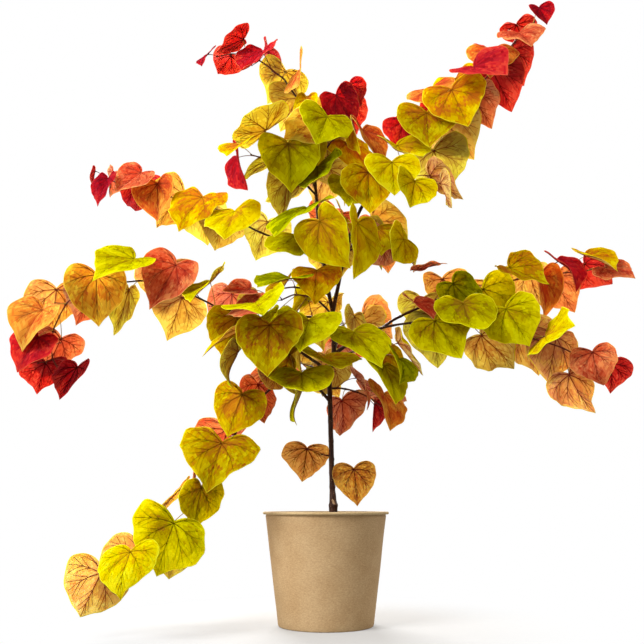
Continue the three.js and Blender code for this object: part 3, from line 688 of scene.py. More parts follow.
OLD_WOOD, YOUNG_WOOD, WINE, STRAW, PULVINUS = range(5)
TWIG_MATERIALS = [
    stalk_skin("twig_reddish_brown", "#381810"),
    stalk_skin("twig_young_red", "#66281a"),
    stalk_skin("petiole_wine", "#80301a", 0.4),
    stalk_skin("petiole_straw", "#ba9440", 0.4),
    stalk_skin("petiole_pulvinus", "#5c2c18", 0.5),
]
BUD_MATERIALS = [stalk_skin("bud_scales", "#2e120c", 0.4)]

# ---------------------------------------------------------------- leaf blades

COLUMNS = 56                       # points round a blade's outline
RINGS = np.array([0.08, 0.16, 0.24, 0.32, 0.40, 0.48, 0.56, 0.64, 0.72, 0.80, 0.87, 0.93, 0.982, 1.0])
BLADE_HALF = 0.22                  # half a blade's thickness
LOBE = np.array([(0.0, 0.0), (0.12, -0.17), (0.50, -0.25), (0.50, 0.15)])
FLANK = np.array([(0.50, 0.15), (0.50, 0.43), (0.19, 0.61), (0.0, 0.80)])
CUSP_REACH = 0.05                  # of the tip's small cusp, along half the outline
SWELL_SHARES = (0.65, 0.35)        # of the edge's two slow swellings
POLE = 0.035                       # from the notch to where the veins meet, times the width
SWING = np.radians(18)             # the veins set out this much further from the tip than they end
VEIN_PLACES = [0.14, 0.265, 0.375]  # of the paired main veins on one half of the outline
QUILT_START = 0.03                 # beside the notch, on the same scale
ROUNDED_FOLD = 0.03                # half the width of the crease along the midrib, times the width
STIFF_MIDDLE = 6                   # the margin's waves die out within a sixth of the width of the midrib
STRAIGHT = 1e-3                    # a curvature too small to roll the blade
PROBE = 0.004                      # how far aside a blade's slope is read, times the width

# A blade curls and grows beyond the solid's flat plate as far as its neighbours leave room: each row is
# tried in turn with each of its own curls, with its growth and its share of the full curl.
ROOM = [(1.12, 1.0), (1.08, 0.8), (1.04, 0.6), (1.0, 0.4), (1.0, 0.2), (1.0, 0.0)]
CURLS = 3
TEST_COLUMNS = 16
TEST_RINGS = np.array([0.35, 0.7, 1.02])
NEIGHBOUR_REACH = (0.62, 6)        # times both widths, and millimetres more
WOOD_REACH = 0.8                   # times the width, and LIMB_REACH more
OFF_TWIG, OFF_LIMB = 2.2, 4.6      # a blade's least distance from the middle line of a twig or a limb


def bezier(handles, t):
    """The cubic curve with these four handles."""
    a, b, c, d = np.array(handles)
    t = np.asarray(t)[..., None]
    return a * (1 - t) ** 3 + 3 * b * t * (1 - t) ** 2 + 3 * c * t ** 2 * (1 - t) + d * t ** 3


Curl = namedtuple("Curl", "rolls nod turn")


def curl(chance):
    """
    How a blade moves from its flat plate: the angles by which it nods and turns on its petiole, and
    three rolls, each a direction over it, the line where it starts and its curvature (more than 0 rolls
    to the underside).  The tip rolls mostly downwards, and each side either way.
    """
    turn = chance.uniform(-0.55, 0.55)
    amount = 0.25 + 2.3 * chance.uniform() ** 2
    start = chance.uniform(0.15, 0.45)
    rolls = [(np.sin(turn), np.cos(turn), start, amount * chance.choice([1, 1, 1, -0.6]))]
    for side in (1, -1):
        turn = chance.uniform(-0.6, 0.7)
        amount = chance.uniform(-1.0, 2.0)
        rolls.append((side * np.cos(turn), np.sin(turn), chance.uniform(0.10, 0.26), amount))
    return Curl(rolls, chance.uniform(-0.40, 0.70), chance.uniform(-0.45, 0.45))


class Heart:
    """
    A leaf's own heart shape, one unit wide.  Its surface is a function of u, the place round the outline
    from the notch (0) over the right lobe to the tip (1/2) and back over the left lobe (1), and of rho,
    from the veins' meeting point (0) to the outline (1).
    """

    def __init__(self, chance, size, fold):
        self.size = size
        self.fold = fold
        self.share = 1.0
        self.lobes, self.flanks = [], []
        for _ in range(2):
            notch, top, blunt = chance.uniform((-0.05, -0.04, -0.05), (0.06, 0.07, 0.10))
            self.lobes.append(LOBE + [(0, 0), (notch, 0), (0, top), (0, 0)])
            self.flanks.append(FLANK + [(0, 0), (0, 0), (blunt, -blunt * 0.5), (0, 0)])
        self.tall = chance.uniform(0.90, 1.08)
        self.cusp = chance.uniform(0, 0.06)
        self.lean = chance.uniform(-0.08, 0.08)
        self.ragged = chance.uniform(0.02, 0.06)
        self.shoulders = chance.uniform((1.6, 4.5), (3.0, 8.0), (2, 2))
        self.offsets = chance.uniform(0, TURN, (2, 2))
        self.curls = [curl(chance) for _ in range(CURLS)]
        self.curl = self.curls[0]
        self.wave = chance.uniform(0.008, 0.034)
        self.count = chance.uniform(1.6, 4.6, 2)
        self.phase = chance.uniform(0, TURN, 2)
        self.quilt = chance.uniform(0.008, 0.014)

    def outline(self, u):
        """
        The outline's point: one curve round the lobe and another down the flank to the tip, whose last
        stretch runs out into a small cusp, with a slow uneven swelling of the edge.
        """
        half = 1 - np.abs(2 * u - 1)
        side = np.where(u <= 0.5, 1.0, -1.0)
        which = np.where(side > 0, 0, 1)
        lobe, flank = (np.where((side > 0)[..., None], bezier(curves[0], t), bezier(curves[1], t))
                       for curves, t in ((self.lobes, np.clip(half * 2, 0, 1)),
                                         (self.flanks, np.clip(half * 2 - 1, 0, 1))))
        point = np.where((half <= 0.5)[..., None], lobe, flank)
        swell = np.sin(TURN * self.shoulders[which] * half[..., None] + self.offsets[which]) @ SWELL_SHARES
        grow = 1 + self.ragged * swell * np.sin(np.pi * half) ** 0.5
        down = point[..., 1] * self.tall * grow + self.cusp * bell(1 - half, CUSP_REACH)
        return np.stack([point[..., 0] * side * grow, down], -1)

    def flat(self, u, rho):
        """The point before it bends: a quadratic curve whose handle is swung away from the tip."""
        pole = np.array([0, POLE])
        end = self.outline(u) - pole
        reach = np.linalg.norm(end, axis=-1)
        angle = np.arctan2(end[..., 0], end[..., 1])
        swung = angle + SWING * np.sin(angle)
        handle = np.stack([np.sin(swung), np.cos(swung)], -1) * reach[..., None] / 2
        rho = rho[..., None]
        flat = pole + 2 * rho * (1 - rho) * handle + rho ** 2 * end
        return flat + np.stack([self.lean * flat[..., 1] ** 2, 0 * flat[..., 1]], -1)

    def bent(self, flat):
        """
        A point of the flat heart on the blade in space: raised by the fold along the midrib, then rolled
        beyond each roll's starting line, and last turned as a whole about the notch.  At a distance s
        past a roll's line and a curvature k, the point goes on by sin(ks)/k and down by (1 - cos(ks))/k.
        """
        x, y = flat[..., 0], flat[..., 1]
        z = (np.sqrt(x ** 2 + ROUNDED_FOLD ** 2) - ROUNDED_FOLD) * np.tan(self.fold)
        for over, down, start, curvature in self.curl.rolls:
            k = curvature * self.share
            if abs(k) > STRAIGHT:
                s = np.clip(x * over + y * down - start, 0, None)
                on = np.sin(k * s) / k + z * np.sin(k * s) - s
                x, y, z = x + over * on, y + down * on, z * np.cos(k * s) - (1 - np.cos(k * s)) / k
        nod, turn = self.curl.nod * self.share, self.curl.turn * self.share
        y, z = y * np.cos(nod) - z * np.sin(nod), y * np.sin(nod) + z * np.cos(nod)
        x, z = x * np.cos(turn) - z * np.sin(turn), x * np.sin(turn) + z * np.cos(turn)
        return np.stack([x, y, z], -1)

    def between_veins(self, u):
        """0 on a main vein and 1 halfway to the next."""
        half = (1 - np.abs(2 * u - 1)) / 2
        places = [QUILT_START, *VEIN_PLACES, 0.5]
        share = np.interp(half, places, np.arange(len(places)))
        return np.sin(np.pi * (share % 1)) ** 2

    def surface(self, u, rho):
        """
        The point on the blade's middle surface (across, towards the tip, off the plane) and the normal
        there.  The blade is quilted, higher between the main veins, and its margin waves.
        """
        u, rho = np.broadcast_arrays(np.asarray(u, float), np.asarray(rho, float))
        flat = self.flat(u, rho)
        here = self.bent(flat)
        across, down = self.bent(flat + (PROBE, 0)) - here, self.bent(flat + (0, PROBE)) - here
        normal = unit(np.cross(across, down))
        which = np.where(u <= 0.5, 0, 1)
        wave = np.sin(TURN * self.count[which] * (1 - np.abs(2 * u - 1)) + self.phase[which])
        wave = self.wave * self.share * rho ** 3 * wave * np.clip(np.abs(flat[..., 0]) * STIFF_MIDDLE, 0, 1)
        lift = wave + self.quilt * self.between_veins(u) * 4 * rho * (1 - rho)
        return here + normal * lift[..., None], normal


def fan(columns, rings):
    """
    The points of a sheet over the heart in u and rho, the veins' meeting point first and then ring by
    ring, and its triangles: a fan round that point, and two for every four neighbours further out.
    """
    u = np.append(0.25, np.tile(np.arange(columns) / columns, len(rings)))
    ring = np.arange(columns)
    i, j = np.meshgrid(np.arange(len(rings) - 1), ring, indexing="ij")
    k = (j + 1) % columns
    a, b = 1 + i * columns + j, 1 + (i + 1) * columns + j
    c, d = 1 + (i + 1) * columns + k, 1 + i * columns + k
    pairs = np.stack([np.stack([a, b, c], -1), np.stack([a, c, d], -1)], -2).reshape(-1, 3)
    middle = np.stack([0 * ring, 1 + ring, 1 + np.roll(ring, -1)], 1)
    return u, np.append(0, np.repeat(rings, columns)), np.concatenate([middle, pairs])


BLADE_U, BLADE_RHO, BLADE_FACES = fan(COLUMNS, RINGS)
COUNT = len(BLADE_U)
OUTER = np.arange(COUNT - COLUMNS, COUNT)
AFTER = np.roll(OUTER, -1)
RIM_FACES = np.concatenate([np.stack([OUTER + COUNT, AFTER + COUNT, AFTER], 1),
                            np.stack([OUTER + COUNT, AFTER, OUTER], 1)])
BLADE_TRIANGLES = np.concatenate([BLADE_FACES, BLADE_FACES[:, ::-1] + COUNT, RIM_FACES])
# For each triangle of one face: its ring, and its middle in u and rho.
FACE_RING = np.concatenate([np.zeros(COLUMNS, int), np.repeat(np.arange(1, len(RINGS)), COLUMNS * 2)])
HALFWAY = (np.arange(COLUMNS) + 0.5) / COLUMNS
FACE_U = np.append(HALFWAY, np.tile(np.repeat(HALFWAY, 2), len(RINGS) - 1))
FACE_RHO = np.append(0, RINGS)[FACE_RING] * 0.5 + RINGS[FACE_RING] * 0.5

TEST_U, TEST_RHO, TEST_FACES = fan(TEST_COLUMNS, TEST_RINGS)
BEYOND = TEST_FACES[TEST_COLUMNS::2]
TEST_EDGES = np.concatenate([TEST_FACES[:TEST_COLUMNS, :2], BEYOND[:, :2], BEYOND[:, 1:]])

# How far a blade turns colour: at most by chance, and more at the margin, the tip and between the veins.
RIPE_CHANCE, RIPE_MARGIN, RIPE_TIP, RIPE_BETWEEN = 0.30, 0.42, 0.16, 0.15
RIPEST = 0.999                     # just under 1, and takes the last tint
LARGE_BLOTCH, SMALL_BLOTCH = 46, 14
SMALL_SHARE = 0.4                  # of a small blotch's strength beside a large one's
OTHER_BLOTCH, OTHER_FRECKLE = 0.15, 0.13
BLOTCH = {"g": 0.12, "l": 0.14, "y": 0.13, "b": 0.18, "d": 0.17, "o": 0.18, "s": 0.18}
FRECKLE = {"g": 0.07, "l": 0.08, "y": 0.09, "b": 0.14, "d": 0.12, "r": 0.16, "k": 0.10}


def ripeness(heart, letter, chance):
    """
    How far each triangle of a face has turned, 0 to 1: more towards the margin and the tip, less beside
    the veins, with blotches of two sizes and freckles.
    """
    flat = heart.flat(FACE_U, FACE_RHO) * heart.size
    blotch, freckle = BLOTCH.get(letter, OTHER_BLOTCH), FRECKLE.get(letter, OTHER_FRECKLE)
    freckles = np.repeat(chance.normal(size=COLUMNS * len(RINGS)), 2)[COLUMNS:] * freckle
    return (chance.uniform(0, RIPE_CHANCE) + RIPE_MARGIN * FACE_RHO ** 1.5
            + RIPE_TIP * flat[:, 1] / heart.size + RIPE_BETWEEN * heart.between_veins(FACE_U)
            + blotch * waves(flat, LARGE_BLOTCH, chance)
            + SMALL_SHARE * blotch * waves(flat, SMALL_BLOTCH, chance) + freckles)


# A vein's six corners across it, in half widths, and how far it stands out above and below the blade:
# millimetres, and a share of its half width more.
VEIN_SECTION = np.array([-1, -0.25, 0.25, 1, 0.5, -0.5])
VEIN_RISE = (0.06, 0.05)
VEIN_DROP = (0.22, 0.40)
VEIN_BEND = 0.8                    # below 1, a vein turns aside early on

MIDRIB_HALF = (0.95, 0.30)         # half the veins' width, at their foot and their end
MAIN_HALF = (0.82, 0.28)
SECONDARY_HALF = (0.50, 0.24)
MIDRIB_END, MAIN_END, SECONDARY_END = 0.97, 0.95, 0.93
SECONDARY_RUN = 0.42               # a secondary vein's length, in rho
SECONDARY_VEINS = [                # main vein's place, where it leaves it, and its end's place
    (0.5, 0.36, 0.447), (0.5, 0.50, 0.462), (0.5, 0.66, 0.478), (0.375, 0.36, 0.318), (0.375, 0.52, 0.335),
    (0.375, 0.40, 0.425), (0.375, 0.60, 0.410), (0.265, 0.38, 0.208), (0.265, 0.55, 0.228),
    (0.265, 0.36, 0.315), (0.265, 0.58, 0.300), (0.14, 0.42, 0.090), (0.14, 0.40, 0.190),
]
VEINS = [((0.5, 0), (0.5, MIDRIB_END), MIDRIB_HALF, 11)]
for at in (lambda u: u, lambda u: 1 - u):
    VEINS += [((at(place), 0), (at(place), MAIN_END), MAIN_HALF, 9) for place in VEIN_PLACES]
    VEINS += [((at(root), rho), (at(end), min(rho + SECONDARY_RUN, SECONDARY_END)), SECONDARY_HALF, 4)
              for root, rho, end in SECONDARY_VEINS]


def vein(heart, start, end, widths, steps, upper, under):
    """
    A tapering six-sided vein along the blade from `start` to `end`, each given in u and rho.  It shows as
    a faint line on the upper side and stands out below.
    """
    share = np.linspace(0, 1, steps)
    u = between((start[0], end[0]), share ** VEIN_BEND)
    path, normal = heart.surface(u, between((start[1], end[1]), share))
    width = between(widths, share)[:, None]
    rise = BLADE_HALF + VEIN_RISE[0] + VEIN_RISE[1] * width
    drop = BLADE_HALF + VEIN_DROP[0] + VEIN_DROP[1] * width
    upright = np.concatenate([0 * rise, rise, rise, 0 * rise, -drop, -drop], 1)
    part = sweep(path * heart.size, normal, width * VEIN_SECTION, upright)
    above = np.append(upright, (0, 0))[part.triangles].sum(1) > 0
    return Part(part.points, part.triangles, np.where(above, upper, under))


def blade_part(leaf, heart, chance):
    """One leaf blade: two faces with their tints by triangle, the rim between them, and the veins."""
    middle, normal = heart.surface(BLADE_U, BLADE_RHO)
    middle = middle * heart.size
    # The margin's paler tint, on the outer ring and the rim, is a painted highlight of light coming through
    # the leaf's edge.
    margin, upper, under = (FINISH[leaf.tint, name] for name in ("margin", "vein", "under_vein"))
    finish = []
    for names in (UPPER_TINTS, UNDER_TINTS):
        ripe = np.clip(ripeness(heart, leaf.tint, chance), 0, RIPEST)
        tints = np.array([FINISH[leaf.tint, name] for name in names])
        finish.append(np.where(FACE_RING == len(RINGS) - 1, margin, tints[(ripe * len(tints)).astype(int)]))
    plate = Part(np.concatenate([middle + normal * BLADE_HALF, middle - normal * BLADE_HALF]),
                 BLADE_TRIANGLES, np.concatenate([*finish, np.full(len(RIM_FACES), margin)]))
    part = joined([plate, *(vein(heart, *row, upper, under) for row in VEINS)])
    return Part(placed(leaf.blade, part.points), part.triangles, part.finish)


def placed(blade, points):
    """Points of a blade's own frame, in millimetres, where the blade is."""
    return blade.origin + points @ np.array([blade.right, blade.axis, blade.normal])


def outlined(leaf, heart, curl, share, grow):
    """The blade as a coarse sheet with this curl, share of it and growth, to test against its neighbours."""
    heart.curl, heart.share, heart.size = curl, share, leaf.blade.size * grow
    middle, _ = heart.surface(TEST_U, TEST_RHO)
    points = placed(leaf.blade, middle * heart.size)
    return Clearance(points[TEST_FACES], points[TEST_EDGES])


def fitted_hearts(chance):
    """Each leaf's heart, curled and grown as far as the leaves and twigs round it leave room."""
    hearts = [Heart(chance, leaf.blade.size, leaf.blade.fold) for leaf in leaves]
    sheets = [outlined(leaf, heart, heart.curl, 0, 1) for leaf, heart in zip(leaves, hearts)]

    def fits(k, sheet, near):
        for wood, distance in ((twig_segments, OFF_TWIG), (limb_segments, OFF_LIMB)):
            away = np.linalg.norm(wood.mean(1) - leaves[k].centre, axis=1)
            close = wood[away < leaves[k].blade.size * WOOD_REACH + LIMB_REACH]
            if any_pierces(close, sheet.faces) or not all_clear(sheet.faces.mean(1), close, distance):
                return False
            if not all_clear(sheet.faces[:, 1], close, distance):
                return False
        return not any(any_pierces(sheet.edges, sheets[n].faces) or any_pierces(sheets[n].edges, sheet.faces)
                       or any_pierces(leaves[n].stalk, sheet.faces) for n in near)

    for k, (leaf, heart) in enumerate(zip(leaves, hearts)):
        near = [n for n, other in enumerate(leaves) if n != k and np.linalg.norm(other.centre - leaf.centre)
                < (leaf.blade.size + other.blade.size) * NEIGHBOUR_REACH[0] + NEIGHBOUR_REACH[1]]
        for grow, share in ROOM:
            tried = ((curl, outlined(leaf, heart, curl, share, grow)) for curl in heart.curls)
            found = next(((curl, sheet) for curl, sheet in tried if fits(k, sheet, near)), None)
            if found:
                heart.curl, sheets[k] = found
                break
    return hearts


# ---------------------------------------------------------------- petioles, buds and twigs

PETIOLE_ROWS, PETIOLE_SIDES = 13, 7
PETIOLE_TOP = (0.25, 0.03)         # its end's u and rho, beside the point where the veins meet
PETIOLE_SAG = (-0.02, 0.10)        # upwards, times its length
PETIOLE_DROOP = 0.05               # away from the leaf's tip, times its length
STRAW_CHANCE = 0.3                 # of a straw-coloured petiole on a leaf that isn't yellow
PETIOLE_RADIUS = 0.62
PETIOLE_FOOT = (0.75, 2.6)         # the radius that a swelling adds, and its reach
PETIOLE_HEAD = (0.55, 3.2)
TWIG_NODE = (0.45, 2.2)
TWIG_STEP, TWIG_BLUR, TWIG_SIDES = 3.0, 7.0, 8
TWIG_END = 0.6                     # the last ring's radius, times the twig's
YOUNG_FROM = 0.55                  # the share of a shoot's length where this year's wood begins
LONG_SHOOT = 100                   # shorter shoots have no spurs
SPUR_CHANCE = 0.35
SPUR_LENGTH = (10, 26)
SPUR_RADIUS = (1.0, 0.6)
BUD_GIRTH = 0.34                   # a bud's radius, times its length
NODE_BUD, SPUR_BUD, END_BUD = 3.6, 3.4, 4.4


def petiole_part(leaf, heart, chance):
    """
    A petiole: a thin arc from the shoot to the veins' meeting point, swollen at both ends.  It is a
    parabola that bows by up to a tenth of its length.
    """
    blade = leaf.blade
    meet, normal = heart.surface(*PETIOLE_TOP)
    end = placed(blade, meet * heart.size - normal * BLADE_HALF)
    start = leaf.root + leaf.reach * (-PETIOLE_ROOT if leaf.last else PETIOLE_ROOT)
    share = np.linspace(0, 1, PETIOLE_ROWS)[:, None]
    bow = (UP * chance.uniform(*PETIOLE_SAG) - blade.axis * PETIOLE_DROOP) * np.linalg.norm(end - start)
    path = start + (end - start) * share + bow * 4 * share * (1 - share)
    length = path_length(path)
    foot, head = share[:, 0] * length, (1 - share[:, 0]) * length
    radius = (PETIOLE_RADIUS + PETIOLE_FOOT[0] * bell(foot, PETIOLE_FOOT[1])
              + PETIOLE_HEAD[0] * bell(head, PETIOLE_HEAD[1]))
    straw = leaf.tint in "lyd" or chance.uniform() < STRAW_CHANCE
    part = round_tube(path, radius, PETIOLE_SIDES, STRAW if straw else WINE)
    heads = part.triangles.max(1) >= PETIOLE_SIDES * (PETIOLE_ROWS - 1)
    return Part(part.points, part.triangles, np.where(heads, PULVINUS, part.finish))


def bud_part(point, direction, length):
    """A small pointed bud along `direction`: its radius is half a sine wave, fullest below the middle."""
    share = np.linspace(0, 1, 7)[1:-1]
    path = point + direction * length * share[:, None]
    return round_tube(path, length * BUD_GIRTH * np.sin(np.pi * share ** 0.75), 6)


def shoot_parts(number, chance):
    """
    One shoot: a rounded twig that thickens at each leaf, a bare side spur here and there, and the buds.
    It starts at its limb's own width where it carries on from the limb's tip.
    """
    shoot, path = SHOOTS[number], shoot_paths[number]
    line, places = rounded(path, TWIG_STEP, TWIG_BLUR)
    foot = TWIG_RADIUS[0]
    if shoot.at == 1 and shoot.parent != "trunk":
        foot = max(foot, next(limb.radius[1] for limb in LIMBS if limb.name == shoot.parent))
    share = places / places[-1]
    radius = between((foot, TWIG_RADIUS[1]), share ** 0.8)
    own = [leaf for leaf in leaves if leaf.shoot == number]
    for leaf in own:
        radius = radius + TWIG_NODE[0] * bell(np.linalg.norm(line - leaf.root, axis=1), TWIG_NODE[1])
    radius[-1] *= TWIG_END
    twig = round_tube(line, radius, TWIG_SIDES)
    young = share[np.clip(twig.triangles.min(1) // TWIG_SIDES, 0, len(share) - 1)] > YOUNG_FROM
    twigs = [Part(twig.points, twig.triangles, np.where(young, YOUNG_WOOD, OLD_WOOD))]
    buds = []
    for leaf in own:
        heading = along(path, (leaf.index + 0.5) / len(shoot.tints) * path_length(path))[1]
        lean = unit(leaf.reach * 0.5 + heading)
        buds.append(bud_part(leaf.root + lean * 0.8, lean, NODE_BUD))
        if shoot.length > LONG_SHOOT and chance.uniform() < SPUR_CHANCE:
            spur = unit(heading * 0.8 - leaf.reach * 0.7 + chance.normal(size=3) * 0.25)
            length = chance.uniform(*SPUR_LENGTH)
            steps = np.linspace(0, 1, 6)[:, None]
            sag = UP * 0.12 * length * steps ** 2
            twigs.append(round_tube(leaf.root + spur * length * steps + sag,
                                    between(SPUR_RADIUS, steps[:, 0]), 6, YOUNG_WOOD))
            buds.append(bud_part(leaf.root + spur * length + sag[-1], spur, SPUR_BUD))
    ahead = unit(line[-1] - line[-2])
    buds.append(bud_part(line[-1] - ahead, ahead, END_BUD))
    return twigs, buds


GREEN_MASSES = ["front_upper", "front_high", "centre_front", "front_middle", "front_low_right",
                "front_low_left"]
GOLD_MASSES = ["top_left", "right_lower", "lower_left", "centre_left", "back_low"]


def foliage_slot(mass):
    """The record's slot for a mass, by the colour that most of its leaves have."""
    if mass in GREEN_MASSES:
        return "foliage_green"
    return "foliage_gold" if mass in GOLD_MASSES else "foliage_red"


chance = np.random.default_rng(7)
hearts = fitted_hearts(chance)
all_buds = []
for mass in dict.fromkeys(shoot.mass for shoot in SHOOTS):
    blades, twigs = [], []
    for leaf, heart in zip(leaves, hearts):
        if leaf.mass == mass:
            blades.append(blade_part(leaf, heart, chance))
            twigs.append(petiole_part(leaf, heart, chance))
    for number, shoot in enumerate(SHOOTS):
        if shoot.mass == mass:
            more, buds = shoot_parts(number, chance)
            twigs += more
            all_buds += buds
    piece(f"leaves_{mass}", joined(blades), LEAF_MATERIALS, foliage_slot(mass), f"foliage_{mass}")
    piece(f"twigs_{mass}", joined(twigs), TWIG_MATERIALS, "bark", f"foliage_{mass}")
piece("buds", joined(all_buds), BUD_MATERIALS, "bark")

# ---------------------------------------------------------------- bark

def young_bark():
    """
    Smooth bark of a two-year-old stem: dark red-brown with a waxy sheen, paler streaks 1.8 mm wide that
    run up it, and pale pin-head lenticels 4 mm apart.
    """
    material, place = new_material("young_redbud_bark")
    stretched = node(material, "ShaderNodeMapping", {"Vector": place, "Scale": (1.0, 1.0, 0.16)})
    streaks, brown = two_tints(material, stretched.outputs["Vector"], 0.0018, (0.34, 0.68),
                               ("#220e08", "#502e1e"), Detail=4.0)
    dots = node(material, "ShaderNodeTexVoronoi", {"Vector": place, "Scale": 1 / 0.0042})
    spot = node(material, "ShaderNodeMapRange",
                {"Value": dots.outputs["Distance"], "From Min": 0.14, "From Max": 0.20, "To Min": 0.75,
                 "To Max": 0.0})
    colour = overlaid(material, brown, "#8a6c54", spot.outputs["Result"])
    return finished(material, streaks, 0.5, 0.0006, Base_Color=colour, Roughness=0.48,
                    Specular_IOR_Level=0.25)


def healed_cut():
    """The graft's healed cut: dry, pale tan callus with cracks 1.6 mm apart, matt beside the waxy bark."""
    material, place = new_material("healed_graft_callus")
    cracks, tan = two_tints(material, place, 0.0016, (0.35, 0.65), ("#8c6a4c", "#c4a27c"), Detail=3.0)
    return finished(material, cracks, 0.6, 0.0008, Base_Color=tan, Roughness=0.8)


BARK, CALLUS = range(2)
BARK_MATERIALS = [young_bark(), healed_cut()]
SUNK = 4                           # the trunk's foot goes this far into the soil's relief
SCAR_Z = 187                       # the graft's scar, on the front of the knob
SCAR_HALF = (1.7, 4.6)             # its half width and half length
SCAR_SLANT = np.radians(24)
KNOB_REACH = 13
BARK_BLUR = 9.0
TRUNK_STEP, TRUNK_SIDES = 1.4, 32
LIMB_STEP, LIMB_SIDES = 1.6, 24
FOOT_REACH = 7.0
OLD_NODE_GAP = (20, 34)            # between the nodes where last year's leaves stood
OLD_NODE_REACH = 2.6
OLD_NODE_SWELL = (0.07, 0.14)      # all round, and more where the leaf stood, times the radius


def bark_surface(path, stations, radii, step, sides, chance, flare):
    """
    A limb's middle line and its radius over it and round it: the given radii, times a swelling at its
    foot and at each old leaf node, with lengthwise fissures about 0.2 mm deep and a slow wobble.
    """
    line, places = rounded(path, step, BARK_BLUR)
    angle = angles(sides)
    radius = np.interp(places, stations, radii)
    radius = radius * (1 + flare * np.exp(-places / FOOT_REACH))
    node_at = np.cumsum(chance.uniform(*OLD_NODE_GAP, int(places[-1] / OLD_NODE_GAP[0]) + 1))
    node_side = chance.uniform(0, TURN, len(node_at))
    grid = radius[:, None] + 0 * angle
    for at, side in zip(node_at, node_side):
        facing = np.clip(np.cos(angle - side), 0, None) ** 2
        grid = grid + (bell(places - at, OLD_NODE_REACH)[:, None] * radius[:, None]
                       * (OLD_NODE_SWELL[0] + OLD_NODE_SWELL[1] * facing))
    around = circle(angle) * radius.mean()
    where = np.concatenate([np.broadcast_to(around, (len(line), sides, 2)),
                            np.broadcast_to(places[:, None, None] * 0.12, (len(line), sides, 1))], -1)
    grid = grid + 0.10 * waves(where, 2.4, chance) + 0.12 * waves(where, 6.0, chance)
    grid[-1] *= 0.7
    return line, grid


chance = np.random.default_rng(23)
trunk_path = np.concatenate([TRUNK[:1, :3] - [0, 0, SUNK], TRUNK[:, :3]])
trunk_radii = np.append(TRUNK[0, 3] * 1.12, TRUNK[:, 3])
line, grid = bark_surface(trunk_path, distances(trunk_path), trunk_radii, TRUNK_STEP, TRUNK_SIDES, chance, 0)
lump = np.concatenate([np.broadcast_to(circle(angles(TRUNK_SIDES), 6), (len(line), TRUNK_SIDES, 2)),
                       np.broadcast_to(line[:, None, 2:], (len(line), TRUNK_SIDES, 1))], -1)
grid = grid + bell(line[:, 2:] - SCAR_Z, KNOB_REACH) * (0.5 * waves(lump, 14, chance) + 0.3)
stem = round_tube(line, grid, TRUNK_SIDES)
middle = stem.points[stem.triangles].mean(1) - (TRUNK[2, 0], 0, SCAR_Z)
slant = middle[:, 0] * np.cos(SCAR_SLANT) + middle[:, 2] * np.sin(SCAR_SLANT)
length = middle[:, 2] * np.cos(SCAR_SLANT) - middle[:, 0] * np.sin(SCAR_SLANT)
scar = (middle[:, 1] < 0) & ((slant / SCAR_HALF[0]) ** 2 + (length / SCAR_HALF[1]) ** 2 < 1)
stem = Part(stem.points, stem.triangles, np.where(scar, CALLUS, BARK))
piece("bark_trunk", stem, BARK_MATERIALS, "bark", "trunk")
for limb in LIMBS:
    path = limb_paths[limb.name]
    stations = np.linspace(0, path_length(path), len(path))
    flare = 0.05 if limb.at == 1 else 0.5
    radii = np.linspace(*limb.radius, len(path))
    line, grid = bark_surface(path, stations, radii, LIMB_STEP, LIMB_SIDES, chance, flare)
    piece(f"bark_{limb.name}", round_tube(line, grid, LIMB_SIDES), BARK_MATERIALS, "bark", limb.name)

# ---------------------------------------------------------------- pot and soil

def kraft_fibre(name, dark, light):
    """
    Pressed kraft fibre: matt, tan, with fibre flecks about 3 mm long, cloudy darker damp patches 40 mm
    across, and a felted surface.
    """
    material, place = new_material(name)
    flat = node(material, "ShaderNodeMapping", {"Vector": place, "Scale": (1.0, 1.0, 2.2)})
    flecks, tan = two_tints(material, flat.outputs["Vector"], 0.0030, (0.30, 0.72), (dark, light),
                            Detail=5.0, Roughness=0.7)
    clouds = node(material, "ShaderNodeTexNoise", {"Vector": place, "Scale": 1 / 0.040, "Detail": 2.0})
    amount = node(material, "ShaderNodeMapRange",
                  {"Value": clouds.outputs["Fac"], "From Min": 0.4, "From Max": 0.75, "To Min": 0.0,
                   "To Max": 0.35})
    colour = overlaid(material, tan, "#d8c8ac", amount.outputs["Result"], "MULTIPLY")
    return finished(material, flecks, 0.5, 0.0008, Base_Color=colour, Roughness=0.85,
                    Specular_IOR_Level=0.25)


def crumb(name, dark, light, grain):
    """Moist potting mix: matt crumbs of peat and composted bark, with grains of a few millimetres."""
    material, place = new_material(name)
    grains, brown = two_tints(material, place, grain, (0.35, 0.70), (dark, light),
                              Detail=5.0, Roughness=0.65)
    return finished(material, grains, 0.8, 0.0015, Base_Color=brown, Roughness=0.95)


WALL_TOP = POT_HEIGHT - 2 * LIP_RADIUS
EDGE_RADIUS = 2.2                  # of the small round edge at the pot's base
WALL_ROWS, INNER_ROWS, LIP_ROWS, EDGE_ROWS = 36, 14, 19, 6
POT_COLUMNS = 128
UNEVENNESS = 0.22                  # of the pressed wall; it grows in over the lowest 20 mm
EVEN_FOOT = 20


def wall_radius(z):
    """The pot's outside radius at a height: an even taper from the base to under the lip."""
    return POT_BASE_RADIUS + (POT_RIM_RADIUS - LIP_OVERHANG - POT_BASE_RADIUS) * z / WALL_TOP


